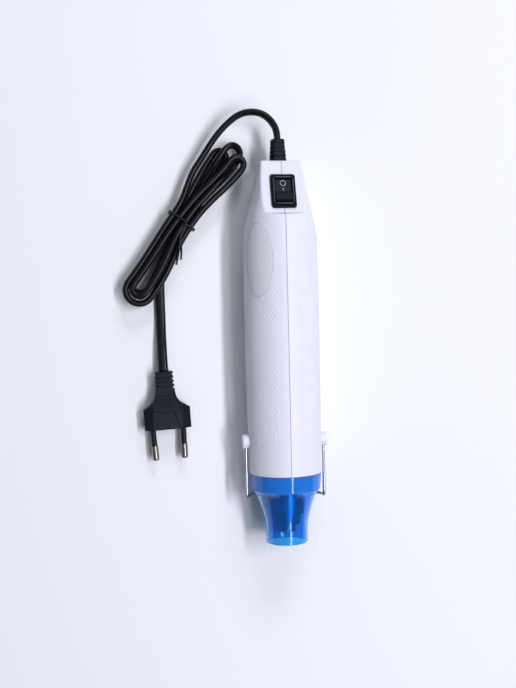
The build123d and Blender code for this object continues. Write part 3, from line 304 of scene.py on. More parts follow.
# Cord and tie: extruded PVC gives a smooth black with long highlights
CORD = Finish("pvc_cord_black", "#090B10", "#0C0F14", 0.33, 0.7, 0.006, 1.53, 0.2)
TIE = Finish("pvc_tie_black", "#0B0D11", "#101318", 0.42, 0.4, 0.006, 1.53, 0.3)
# Stand, motor shaft and plug pins: nickel-plated drawn wire gives a bright metal with lengthwise lines
WIRE = Metal(
    "nickel_wire", "#ABACAC", "#B5B7BA", 0.28, 0.12, 0.001, grain=Grain.DRAWN, grain_axis=(1.0, 0.05, 1.0)
)
PINS = replace(
    WIRE, name="nickel_brass_pin", colour="#8E8A80", tint="#807C74", roughness=0.34, grain_size=0.15
)
# Barrel: rolled stainless sheet gives a grey metal, heat-tinted in places
BARREL = Metal("stainless_barrel", "#A9ADB4", "#969BA4", 0.42, 0.3, 0.003, grain_axis=(0.2, 1.0, 0.2))
# Screws, rings and motor: zinc-plated steel gives a cool satin grey
ZINC = Metal("zinc_plated_steel", "#B9BBB7", "#A7A99F", 0.34, 0.4, 0.003)
# Coil: oxidised nichrome wire gives a dull brown grey
NICHROME = Metal("nichrome_wire", "#7D776F", "#6A655F", 0.36, 0.1, 0.002, grain=Grain.DRAWN)
# Contacts and terminals: stamped brass gives a warm yellow
BRASS = Metal("stamped_brass", "#D8B25A", "#C9A24C", 0.28, 0.3, 0.003)
# Former and liner: pressed mica gives a flaky tan
MICA = Finish("mica_board", "#C8B08A", "#B79B72", 0.42, 1.6, 0.01, 1.58, grain=Grain.FLAKE)
# Rectifier board: phenolic paper gives a brown with pale flecks
BOARD = Finish("phenolic_board", "#8A5A2B", "#9A6734", 0.5, 0.8, 0.004, 1.55, grain=Grain.FLAKE)
# Fan, end cap and diodes: filled nylon from an eroded mould gives a matt dark grey
DARK_NYLON = Finish("nylon_fan_grey", "#2B2E33", "#34373D", 0.5, 0.4, 0.006, 1.53, grain=Grain.SPARKED)
# Cord clamp and cut-out: natural nylon gives a milky white
NATURAL_NYLON = Finish("nylon_clamp_natural", "#D9D6CC", "#CFCBBF", 0.45, 0.5, 0.004, 1.53)
# Heater leads: woven glass-fibre sleeving gives a rough cream
SLEEVING = Finish("glass_fibre_sleeving", "#E4E0D3", "#D5D0C0", 0.7, 0.3, 0.02, 1.5, grain=Grain.SPARKED)
# Cores of the cord: PVC gives a smooth brown
CORE = Finish("pvc_core_brown", "#5B3A26", "#513321", 0.4, 0.5, 0.004, 1.53)

FINISHED_NODES = {
    CASING: "left_shell right_shell",
    GRIP: "stand_caps",
    GUARD: "nozzle_guard",
    SWITCH: "switch_body",
    ROCKER: "rocker",
    PLUG: "plug_body pin_sleeves strain_relief",
    PINS: "plug_pins",
    WIRE: "stand_wire motor_shaft",
    BARREL: "heat_barrel",
    ZINC: "barrel_ring heater_flange casing_screws clamp_screws motor_can",
    NATURAL_NYLON: "thermal_cutout cord_clamp",
    NICHROME: "heating_coil",
    SLEEVING: "heater_leads",
    BRASS: "switch_terminals moving_contact",
    MICA: "mica_liner mica_former",
    DARK_NYLON: "fan_housing fan_impeller motor_end_cap diodes",
    BOARD: "rectifier_board",
    CORD: "inner_cable",
    CORE: "mains_cores",
}


def placed(name: str, data: bpy.types.ID) -> Piece:
    """Put an object into the scene, at the origin.

    Args:
        name: The object's name.
        data: Its mesh, curve, camera or lamp.

    Returns:
        The object.
    """
    made = bpy.data.objects.new(name, data)
    bpy.context.scene.collection.objects.link(made)
    return made


def baked(holder: Piece) -> Mesh:
    """Turn an object into the mesh that it shows, and remove it.

    Args:
        holder: The object.

    Returns:
        The mesh.
    """
    bpy.context.view_layer.update()
    shown = holder.evaluated_get(bpy.context.evaluated_depsgraph_get())
    mesh = bpy.data.meshes.new_from_object(shown)
    bpy.data.objects.remove(holder)
    return mesh


def new_piece(name: str, mesh: Mesh, finish: Finish, body: str, smooth: bool = True) -> Piece:
    """Make an object of a mesh at the origin, dress it and let it ride.

    Args:
        name: The piece's name.
        mesh: Its mesh, with its place in its vertices.
        finish: Its finish.
        body: Body that it moves with.
        smooth: Whether its faces shade smoothly.

    Returns:
        The new object.
    """
    piece = placed(name, mesh)
    mesh.materials.clear()
    mesh.materials.append(finish.material())
    mesh.polygons.foreach_set("use_smooth", [smooth] * len(mesh.polygons))
    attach(piece, body)
    return piece


def mesh_of(name: str, points: list[Vector], faces: list[list[int]]) -> Mesh:
    """Make a mesh with its faces turned outwards.

    Args:
        name: The mesh's name.
        points: Its points, in millimetres.
        faces: The numbers of each face's points.

    Returns:
        The mesh.
    """
    mesh = bpy.data.meshes.new(name)
    mesh.from_pydata([point * MM for point in points], [], faces)
    form = bmesh.new()
    form.from_mesh(mesh)
    bmesh.ops.remove_doubles(form, verts=form.verts, dist=WELD_METRES)
    bmesh.ops.recalc_face_normals(form, faces=form.faces)
    form.to_mesh(mesh)
    form.free()
    return mesh


def swept_tube(name: str, path: list[Vector], outline: Outline, turns: list[float] | None = None) -> Mesh:
    """Sweep a closed outline along a path, kept upright but for a turn about the path.

    Args:
        name: The mesh's name.
        path: Points of the centre line, in millimetres.
        outline: The section's points, across and up.
        turns: Turn of the section at each point, in radians, none if left out.

    Returns:
        The closed tube.
    """
    turns = turns or [0.0] * len(path)
    points, faces = [], []
    count = len(outline)
    for index, centre in enumerate(path):
        before = path[max(index - 1, 0)]
        after = path[min(index + 1, len(path) - 1)]
        heading = (after - before).normalized()
        side = Vector((-heading.y, heading.x, 0)).normalized()
        rise = heading.cross(side)
        cosine, sine = math.cos(turns[index]), math.sin(turns[index])
        for across, up in outline:
            beside = side * (across * cosine - up * sine)
            points.append(centre + beside + rise * (across * sine + up * cosine))
        if index:
            start = (index - 1) * count
            for corner in range(count):
                a, b = start + corner, start + (corner + 1) % count
                faces.append([a, b, b + count, a + count])
    last = (len(path) - 1) * count
    faces.append(list(range(count)))
    faces.append(list(range(last, last + count)))
    return mesh_of(name, points, faces)


def smooth_line(route: list[Triple], steps: int) -> list[Vector]:
    """Read the points of a smooth curve whose control points are a route.

    Args:
        route: Control points, in millimetres.
        steps: Points for each control point.

    Returns:
        Points along the curve, in millimetres.
    """
    curve = bpy.data.curves.new("route", "CURVE")
    curve.dimensions = "3D"
    curve.resolution_u = steps
    spline = curve.splines.new("NURBS")
    spline.points.add(len(route) - 1)
    for point, place in zip(spline.points, route):
        point.co = (*(value * MM for value in place), 1.0)
    spline.order_u = 3
    spline.use_endpoint_u = True
    line = baked(placed("route", curve))
    points = [vertex.co / MM for vertex in line.vertices]
    bpy.data.meshes.remove(line)
    kept = [points[0]]
    for point in points[1:]:
        if (point - kept[-1]).length > CLOSEST_POINTS:
            kept.append(point)
    return kept


def evened(line: list[Vector], step: float) -> list[Vector]:
    """Place points at even steps along a line of points.

    Args:
        line: The line's points, in millimetres.
        step: Distance between the new points, in millimetres.

    Returns:
        The new points, from the line's first to its last.
    """
    gone = [0.0]
    for before, after in zip(line, line[1:]):
        gone.append(gone[-1] + (after - before).length)
    count = round(gone[-1] / step)
    points = []
    segment = 0
    for index in range(count + 1):
        target = gone[-1] * index / count
        while segment < len(line) - 2 and gone[segment + 1] < target:
            segment += 1
        share = (target - gone[segment]) / (gone[segment + 1] - gone[segment])
        points.append(line[segment].lerp(line[segment + 1], share))
    return points


def round_outline(radius: float, steps: int = 10) -> Outline:
    """Outline of a round section, for swept tubes."""
    turns = [2 * math.pi * step / steps for step in range(steps)]
    return [(radius * math.cos(turn), radius * math.sin(turn)) for turn in turns]


def joined(name: str, meshes: list[Mesh]) -> Mesh:
    """Join meshes into one.

    Args:
        name: Name of the whole.
        meshes: The meshes.

    Returns:
        The whole.
    """
    form = bmesh.new()
    for mesh in meshes:
        form.from_mesh(mesh)
    whole = bpy.data.meshes.new(name)
    form.to_mesh(whole)
    form.free()
    return whole


@dataclass
class Surface:
    """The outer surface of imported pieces, for seating thin details on it."""

    nodes: list[str]
    slip_shifts: Triple = (0.0, 0.02, -0.03)
    tree: BVHTree = field(init=False)

    def __post_init__(self) -> None:
        """Gather the pieces' faces."""
        points, faces = [], []
        for name in self.nodes:
            mesh = (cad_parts.get(name) or bpy.data.objects[name]).data
            start = len(points)
            points += [vertex.co.copy() for vertex in mesh.vertices]
            faces += [[start + index for index in polygon.vertices] for polygon in mesh.polygons]
        self.tree = BVHTree.FromPolygons(points, faces)

    def seat(self, origin: Vector, heading: Vector, lift: float) -> Vector:
        """Find the surface along a ray.

        Args:
            origin: Start of the ray, in millimetres.
            heading: Its direction.
            lift: How far above the surface the result lies, in millimetres.

        Returns:
            The place, in millimetres.
        """
        # a ray can slip through between two faces, so two more go beside it and the first hit counts
        reaches = []
        for shift in self.slip_shifts:
            start = (origin + Vector((shift, 2 * shift, 0))) * MM
            reach = self.tree.ray_cast(start, heading)[3]
            if reach is not None:
                reaches.append(reach / MM)
        if not reaches:
            raise ValueError(f"no surface of {self.nodes} from {origin}")
        return origin + heading * (min(reaches) - lift)


@dataclass
class Casing:
    """The two casing halves with their grip panels and the bare label plate."""

    grip_first_angle: float = 18.0
    grip_last_angle: float = 112.0
    grip_start: float = 46.0
    grip_end: float = 168.5
    grip_pitch_across: float = 2.3
    grip_pitch_along: float = 4.0
    grip_cover: float = 0.93
    grip_height: float = 0.12
    diamond_top: float = 0.6
    corner_across: float = 7.0
    corner_along: float = 22.0
    corner_limit: float = 1.05
    ray_start: float = 30.0
    ray_length: float = 20.0
    label_station: float = 59.0
    label_angle: float = 46.0
    label_length: float = 44.0
    label_width: float = 19.5
    label_thickness: float = 0.14
    label_edge: float = 0.056
    label_sink: float = 0.1
    label_rim: float = 1.012
    label_margin: float = 1.1
    label_rings: int = 10
    label_steps: int = 72
    label_smoothing: int = 6
    label_easing: float = 0.5
    outline_radius: float = 0.13
    outline_lift: float = 0.084
    outline_steps: int = 96
    outline_sides: int = 8

    # named inputs of the grip's tree, by kind
    grip_inputs = {
        "Object": ["Housing"],
        "Int": ["Columns", "Rows"],
        "Float": ["Side", "Angle Span", "Angle Middle", "Length", "Middle", "Axis Height", "Ray Start"]
        + ["Ray Length", "Corner Across", "Corner Along", "Corner Limit", "Diamond Top"]
        + ["Label Place", "Label Angle", "Label Half Length", "Label Half Angle"],
        "Vector": ["Diamond"],
        "Material": ["Finish"],
    }
    # sums of the grip's tree, in order: result, operation, and what goes in
    grip_sums = [
        # every second row is moved by half a column
        ("row gaps", "SUBTRACT", "Rows", 1.0),
        ("row step", "DIVIDE", "Length", "row gaps"),
        ("column gaps", "SUBTRACT", "Columns", 1.0),
        ("column step", "DIVIDE", "Angle Span", "column gaps"),
        ("from start", "MULTIPLY_ADD", "Length", 0.5, "along"),
        ("row share", "DIVIDE", "from start", "row step"),
        ("row", "ROUND", "row share"),
        ("odd", "FLOORED_MODULO", "row", 2.0),
        ("shift", "MULTIPLY", "odd", 0.5),
        ("moved", "MULTIPLY_ADD", "shift", "column step", "across"),
        ("angle", "ADD", "moved", "Angle Middle"),
        ("sine", "SINE", "angle"),
        ("sideways", "MULTIPLY", "sine", "Side"),
        ("upwards", "COSINE", "angle"),
        ("level", "ADD", "along", "Middle"),
        # the panel has rounded corners
        ("twice across", "MULTIPLY", "across", 2.0),
        ("wide", "DIVIDE", "twice across", "Angle Span"),
        ("wide size", "ABSOLUTE", "wide"),
        ("wide bulge", "POWER", "wide size", "Corner Across"),
        ("twice along", "MULTIPLY", "along", 2.0),
        ("tall", "DIVIDE", "twice along", "Length"),
        ("tall size", "ABSOLUTE", "tall"),
        ("tall bulge", "POWER", "tall size", "Corner Along"),
        ("bulge", "ADD", "wide bulge", "tall bulge"),
        ("inside", "LESS_THAN", "bulge", "Corner Limit"),
        # and it leaves a place for the label
        ("off label", "SUBTRACT", "angle", "Label Angle"),
        ("label across", "DIVIDE", "off label", "Label Half Angle"),
        ("past label", "SUBTRACT", "level", "Label Place"),
        ("label along", "DIVIDE", "past label", "Label Half Length"),
        ("square across", "MULTIPLY", "label across", "label across"),
        ("square along", "MULTIPLY", "label along", "label along"),
        ("squares", "ADD", "square across", "square along"),
        ("free", "GREATER_THAN", "squares", 1.0),
        ("open", "MULTIPLY", "inside", "free"),
    ]

    def grip_tree(self) -> Tree:
        """Build the tree that lays raised diamonds on the casing, row by row.

        Its grid is a plan of the panel: the angle round the casing's axis, and the place along it.

        Returns:
            The tree.
        """
        tree = bpy.data.node_groups.new("raised_diamond_grip", "GeometryNodeTree")
        for kind, names in self.grip_inputs.items():
            for name in names:
                tree.interface.new_socket(name=name, in_out="INPUT", socket_type="NodeSocket" + kind)
        tree.interface.new_socket(name="Geometry", in_out="OUTPUT", socket_type="NodeSocketGeometry")
        add = partial(add_node, tree)
        given = add("NodeGroupInput").outputs
        sizes = {"Size X": given["Angle Span"], "Size Y": given["Length"]}
        counts = {"Vertices X": given["Columns"], "Vertices Y": given["Rows"]}
        grid = add("GeometryNodeMeshGrid", {}, sizes | counts)
        place = add("ShaderNodeSeparateXYZ", {}, {0: add("GeometryNodeInputPosition").outputs[0]})
        known = {socket.name: socket for socket in given}
        known |= {"across": place.outputs["X"], "along": place.outputs["Y"]}
        for name, operation, *values in self.grip_sums:
            settings = {index: value for index, value in enumerate(values) if isinstance(value, float)}
            links = {index: known[value] for index, value in enumerate(values) if isinstance(value, str)}
            known[name] = add("ShaderNodeMath", {"operation": operation} | settings, links).outputs[0]
        outward = add("ShaderNodeCombineXYZ", {}, {"X": known["sideways"], "Z": known["upwards"]}).outputs[0]
        inward = add("ShaderNodeVectorMath", {"operation": "SCALE", "Scale": -1.0}, {0: outward}).outputs[0]
        lengthened = {0: outward, "Scale": given["Ray Start"]}
        reach = add("ShaderNodeVectorMath", {"operation": "SCALE"}, lengthened)
        axis = add("ShaderNodeCombineXYZ", {}, {"Y": known["level"], "Z": given["Axis Height"]})
        origin = add("ShaderNodeVectorMath", {"operation": "ADD"}, {0: axis.outputs[0], 1: reach.outputs[0]})
        housing = add("GeometryNodeObjectInfo", {}, {"Object": given["Housing"]}).outputs["Geometry"]
        aim = {"Target Geometry": housing, "Source Position": origin.outputs[0], "Ray Direction": inward}
        ray = add("GeometryNodeRaycast", {}, aim | {"Ray Length": given["Ray Length"]})
        kept = add("ShaderNodeMath", {"operation": "MULTIPLY"}, {0: known["open"], 1: ray.outputs["Is Hit"]})
        captured = add("GeometryNodeCaptureAttribute")
        captured.capture_items.new("VECTOR", "Facing")
        captured.capture_items.new("FLOAT", "Kept")
        tree.links.new(grid.outputs["Mesh"], captured.inputs["Geometry"])
        tree.links.new(ray.outputs["Hit Normal"], captured.inputs["Facing"])
        tree.links.new(kept.outputs[0], captured.inputs["Kept"])
        spots = {"Geometry": captured.outputs["Geometry"], "Position": ray.outputs["Hit Position"]}
        seated = add("GeometryNodeSetPosition", {}, spots).outputs[0]
        chosen = add("ShaderNodeMath", {"operation": "GREATER_THAN", 1: 0.5}, {0: captured.outputs["Kept"]})
        corners = {"Vertices": 4, "Radius Bottom": 1.0, "Depth": 1.0}
        diamond = add("GeometryNodeMeshCone", corners, {"Radius Top": given["Diamond Top"]}).outputs["Mesh"]
        facing = {"Vector": captured.outputs["Facing"]}
        upright = add("FunctionNodeAlignRotationToVector", {"axis": "Z"}, facing).outputs[0]
        lengthwise = {"axis": "Y", "pivot_axis": "Z", "Vector": (0.0, 1.0, 0.0)}
        lined = add("FunctionNodeAlignRotationToVector", lengthwise, {"Rotation": upright}).outputs[0]
        laying = {"Points": seated, "Selection": chosen.outputs[0], "Instance": diamond}
        laying |= {"Rotation": lined, "Scale": given["Diamond"]}
        laid = add("GeometryNodeInstanceOnPoints", {}, laying).outputs[0]
        solid = add("GeometryNodeRealizeInstances", {}, {0: laid}).outputs[0]
        dressed = add("GeometryNodeSetMaterial", {}, {"Geometry": solid, "Material": given["Finish"]})
        add("NodeGroupOutput", {}, {0: dressed.outputs[0]})
        return tree

    def grip(self, tree: Tree, side: Lay) -> Piece:
        """Make one grip panel.

        Args:
            tree: The grip's tree.
            side: Side of the casing.

        Returns:
            The panel.
        """
        span = math.radians(self.grip_last_angle - self.grip_first_angle)
        length = self.grip_end - self.grip_start
        label_half_width = self.label_width / 2 + self.label_margin
        values = {
            "Housing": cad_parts["left_shell" if side is Lay.LEFT else "right_shell"],
            "Side": float(side.value),
            "Columns": int(span * AXIS_HEIGHT / self.grip_pitch_across) + 1,
            "Rows": int(2 * length / self.grip_pitch_along) + 1,
            "Angle Span": span,
            "Angle Middle": math.radians((self.grip_last_angle + self.grip_first_angle) / 2),
            "Length": length * MM,
            "Middle": (REAR_Y - (self.grip_start + self.grip_end) / 2) * MM,
            "Axis Height": AXIS_HEIGHT * MM,
            "Ray Start": self.ray_start * MM,
            "Ray Length": self.ray_length * MM,
            "Corner Across": self.corner_across,
            "Corner Along": self.corner_along,
            "Corner Limit": self.corner_limit,
            "Label Place": (REAR_Y - self.label_station) * MM,
            "Label Angle": math.radians(self.label_angle) if side is Lay.LEFT else math.pi,
            "Label Half Length": (self.label_length / 2 + self.label_margin) * MM,
            "Label Half Angle": label_half_width / AXIS_HEIGHT,
            "Diamond": (
                self.grip_pitch_across / 2 * self.grip_cover * MM,
                self.grip_pitch_along / 2 * self.grip_cover * MM,
                self.grip_height * MM,
            ),
            "Diamond Top": self.diamond_top,
            "Finish": NET.material(),
        }
        name = "grip_" + side.name.lower()
        holder = placed(name, bpy.data.meshes.new(name))
        modifier = holder.modifiers.new("grip", "NODES")
        modifier.node_group = tree
        for item in tree.interface.items_tree:
            if item.in_out == "INPUT":
                modifier[item.identifier] = values[item.name]
        return new_piece(name, baked(holder), NET, "root", smooth=False)

    def label_place(self, surface: Surface, share: float, turn: float, lift: float) -> Vector:
        """Find a place on the label's oval.

        Args:
            surface: The casing's surface.
            share: Share of the oval's size.
            turn: Turn about its middle, in radians.
            lift: Height above the casing, in millimetres.

        Returns:
            The place, in millimetres.
        """
        along = REAR_Y - self.label_station + self.label_length / 2 * share * math.sin(turn)
        angle = -math.radians(self.label_angle) + self.label_width / 2 * share * math.cos(turn) / AXIS_HEIGHT
        outward = Vector((math.sin(angle), 0, math.cos(angle)))
        origin = Vector((0, along, AXIS_HEIGHT)) + outward * self.ray_start
        return surface.seat(origin, -outward, lift)

    def label(self, surface: Surface) -> Piece:
        """Make the bare oval plate, thin and seated on the casing all over.

        Args:
            surface: The casing's surface.

        Returns:
            The plate.
        """
        rings, around = self.label_rings, self.label_steps
        levels = [ring / rings for ring in range(1, rings + 1)]
        rows = [(level, self.label_thickness) for level in levels]
        rows.append((self.label_rim, self.label_edge))
        # the underside follows the casing too, ring by ring
        rows += [(level, -self.label_sink) for level in [self.label_rim] + levels[-2::-1]]
        turns = [2 * math.pi * step / around for step in range(around)]
        points = [self.label_place(surface, 0, 0, self.label_thickness)]
        for share, lift in rows:
            points += [self.label_place(surface, share, turn, lift) for turn in turns]
        points.append(self.label_place(surface, 0, 0, -self.label_sink))
        # evens out the small steps of the casing's facets under the plate
        for _ in range(self.label_smoothing):
            for row in range(1, rings - 1):
                for step in range(around):
                    index = 1 + row * around + step
                    beside = [1 + row * around + (step + way) % around for way in (-1, 1)]
                    beside += [index - around, index + around]
                    middle = sum((points[number] for number in beside), Vector()) / len(beside)
                    points[index] = points[index].lerp(middle, self.label_easing)
        last = 1 + (len(rows) - 1) * around
        faces = []
        for step in range(around):
            after = (step + 1) % around
            faces.append([0, 1 + step, 1 + after])
            faces.append([len(points) - 1, last + after, last + step])
            for start in range(1, last, around):
                below = start + around
                faces.append([start + step, below + step, below + after, start + after])
        mesh = mesh_of("label_plate", points, faces)
        return new_piece("label_plate", mesh, LABEL, "root")

    def label_outline(self, surface: Surface) -> Piece:
        """Make the thin grey line of painted edge shade round the label plate.

        Args:
            surface: The casing's surface.

        Returns:
            The line.
        """
        steps = self.outline_steps
        turns = [2 * math.pi * (step + 0.5) / steps for step in range(steps + 1)]
        line = [self.label_place(surface, 1, turn, self.outline_lift) for turn in turns]
        # the line's grey is painted shade along the plate's edge
        mesh = swept_tube("label_outline", line, round_outline(self.outline_radius, self.outline_sides))
        return new_piece("label_outline", mesh, LABEL_EDGE_SHADE, "root")

    def build(self) -> None:
        """Make the grips and the label."""
        tree = self.grip_tree()
        for side in Lay:
            piece = self.grip(tree, side)
            log.info("%s: %d faces", piece.name, len(piece.data.polygons))
        surface = Surface(["left_shell"])
        for piece in (self.label(surface), self.label_outline(surface)):
            log.info("%s made", piece.name)


@dataclass
class Switch:
    """What the scene gives the switch: the rocker, the lip round it, and the generic marks."""

    panel_start_height: float = 9.7
    panel_rise: float = 9.5
    panel_length: float = 32.0
    switch_place: float = 20.0
    ray_start: float = 20.0
    rest_tilt: float = 13.0
    crest: float = 2.6
    dip: float = 0.9
    half_length: float = 7.2
    valley_softness: float = 0.3
    hub_reach: float = 2.6
    hub_half_width: float = 4.2
    lip_half_width: float = 5.75
    lip_half_length: float = 8.3
    lip_radius: float = 0.34
    lip_steps: int = 8
    ring_down: float = -4.9
    ring_radius: float = 1.55
    ring_line: float = 0.42
    ring_steps: int = 40
    bar_down: float = -1.0
    bar_length: float = 1.6
    bar_width: float = 0.5
    bar_steps: int = 6
    mark_lift: float = 0.03
    mark_sink: float = 0.05

    def slope(self, tilt: float = 0.0) -> tuple[Vector, Vector, Vector]:
        """Find the switch's place on the casing's sloping panel.

        Args:
            tilt: Further tilt that the rocker has, in degrees.

        Returns:
            The switch's middle, the direction down the slope and the direction out of it.
        """
        panel = math.atan2(self.panel_rise, self.panel_length)
        middle = Vector((0, REAR_Y, AXIS_HEIGHT + self.panel_start_height))
        middle += Vector((0, -math.cos(panel), math.sin(panel))) * self.switch_place
        turn = panel + math.radians(tilt)
        down = Vector((0, -math.cos(turn), math.sin(turn)))
        return middle, down, Vector((0, math.sin(turn), math.cos(turn)))

    def seated(self, surface: Surface, across: float, along: float, lift: float) -> Vector:
        """Seat a place of the switch's panel on a surface.

        Args:
            surface: The surface.
            across: Place across the panel, in millimetres.
            along: Place down its slope.
            lift: Height above the surface.

        Returns:
            The place, in millimetres.
        """
        middle, down, out = self.slope()
        start = middle + Vector((across, 0, 0)) + down * along + out * self.ray_start
        return surface.seat(start, -out, lift)

    def rocker_body(self) -> Piece:
        """Make the rocker with one clean valley, its hub flush with the two flats.

        Returns:
            The rocker.
        """
        middle, down, out = self.slope(self.rest_tilt)
        rise = (self.crest - self.dip) / self.half_length
        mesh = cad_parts["rocker"].data.copy()
        for vertex in mesh.vertices:
            place = vertex.co / MM - middle
            along, height = place.dot(down), place.dot(out)
            valley = self.dip + rise * math.hypot(along, self.valley_softness)
            on_hub = abs(along) < self.hub_reach and abs(place.x) < self.hub_half_width
            if on_hub and height > valley:
                vertex.co = (vertex.co / MM + out * (valley - height)) * MM
        piece = new_piece("rocker_body", mesh, ROCKER, "rocker", smooth=False)
        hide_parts("rocker")
        return piece

    def frame_lip(self) -> Piece:
        """Make the raised lip of the switch body round the rocker, its lighter grey a painted highlight.

        Returns:
            The lip.
        """
        surface = Surface(["switch_body"])
        half_width, half_length = self.lip_half_width, self.lip_half_length
        corners = [(-1, -1), (1, -1), (1, 1), (-1, 1), (-1, -1)]
        meshes = []
        for start, end in zip(corners, corners[1:]):
            line = []
            for step in range(self.lip_steps + 1):
                share = step / self.lip_steps
                across = (start[0] + (end[0] - start[0]) * share) * half_width
                along = (start[1] + (end[1] - start[1]) * share) * half_length
                line.append(self.seated(surface, across, along, 0.0))
            meshes.append(swept_tube("lip", line, round_outline(self.lip_radius)))
        return new_piece("switch_lip", joined("switch_lip", meshes), LIP_HIGHLIGHT, "root")

    def mark(self, name: str, rows: list[Outline], closed: bool) -> Piece:
        """Drape a thin printed mark over the rocker's top.

        Args:
            name: The piece's name.
            rows: Two rows of points across and down the panel, one for each edge of the mark.
            closed: Whether the mark closes on itself.

        Returns:
            The mark.
        """
        surface = Surface(["rocker_body"])
        points, faces = [], []
        for lift in (self.mark_lift, -self.mark_sink):
            for row in rows:
                points += [self.seated(surface, across, along, lift) for across, along in row]
        count = len(rows[0])
        low = 2 * count
        for step in range(count if closed else count - 1):
            after = (step + 1) % count
            a, b, c, d = step, after, count + after, count + step
            faces += [[a, b, c, d], [low + d, low + c, low + b, low + a]]
            faces += [[a, low + a, low + b, b], [d, c, low + c, low + d]]
        if not closed:
            faces += [[0, count, 3 * count, 2 * count]]
            faces += [[count - 1, 3 * count - 1, 4 * count - 1, 2 * count - 1]]
        return new_piece(name, mesh_of(name, points, faces), MARKS, "rocker")

    def build(self) -> None:
        """Make the rocker, the lip round it, the ring and the bar."""
        self.rocker_body()
        self.frame_lip()
        turns = [2 * math.pi * step / self.ring_steps for step in range(self.ring_steps)]
        ring = [
            [(radius * math.cos(turn), self.ring_down + radius * math.sin(turn)) for turn in turns]
            for radius in (self.ring_radius - self.ring_line / 2, self.ring_radius + self.ring_line / 2)
        ]
        self.mark("mark_off", ring, True)
        shares = [step / self.bar_steps - 0.5 for step in range(self.bar_steps + 1)]
        bar = [
            [(side * self.bar_width / 2, self.bar_down + share * self.bar_length) for share in shares]
            for side in (-1, 1)
        ]
        self.mark("mark_on", bar, False)
        log.info("rocker, lip and marks made")


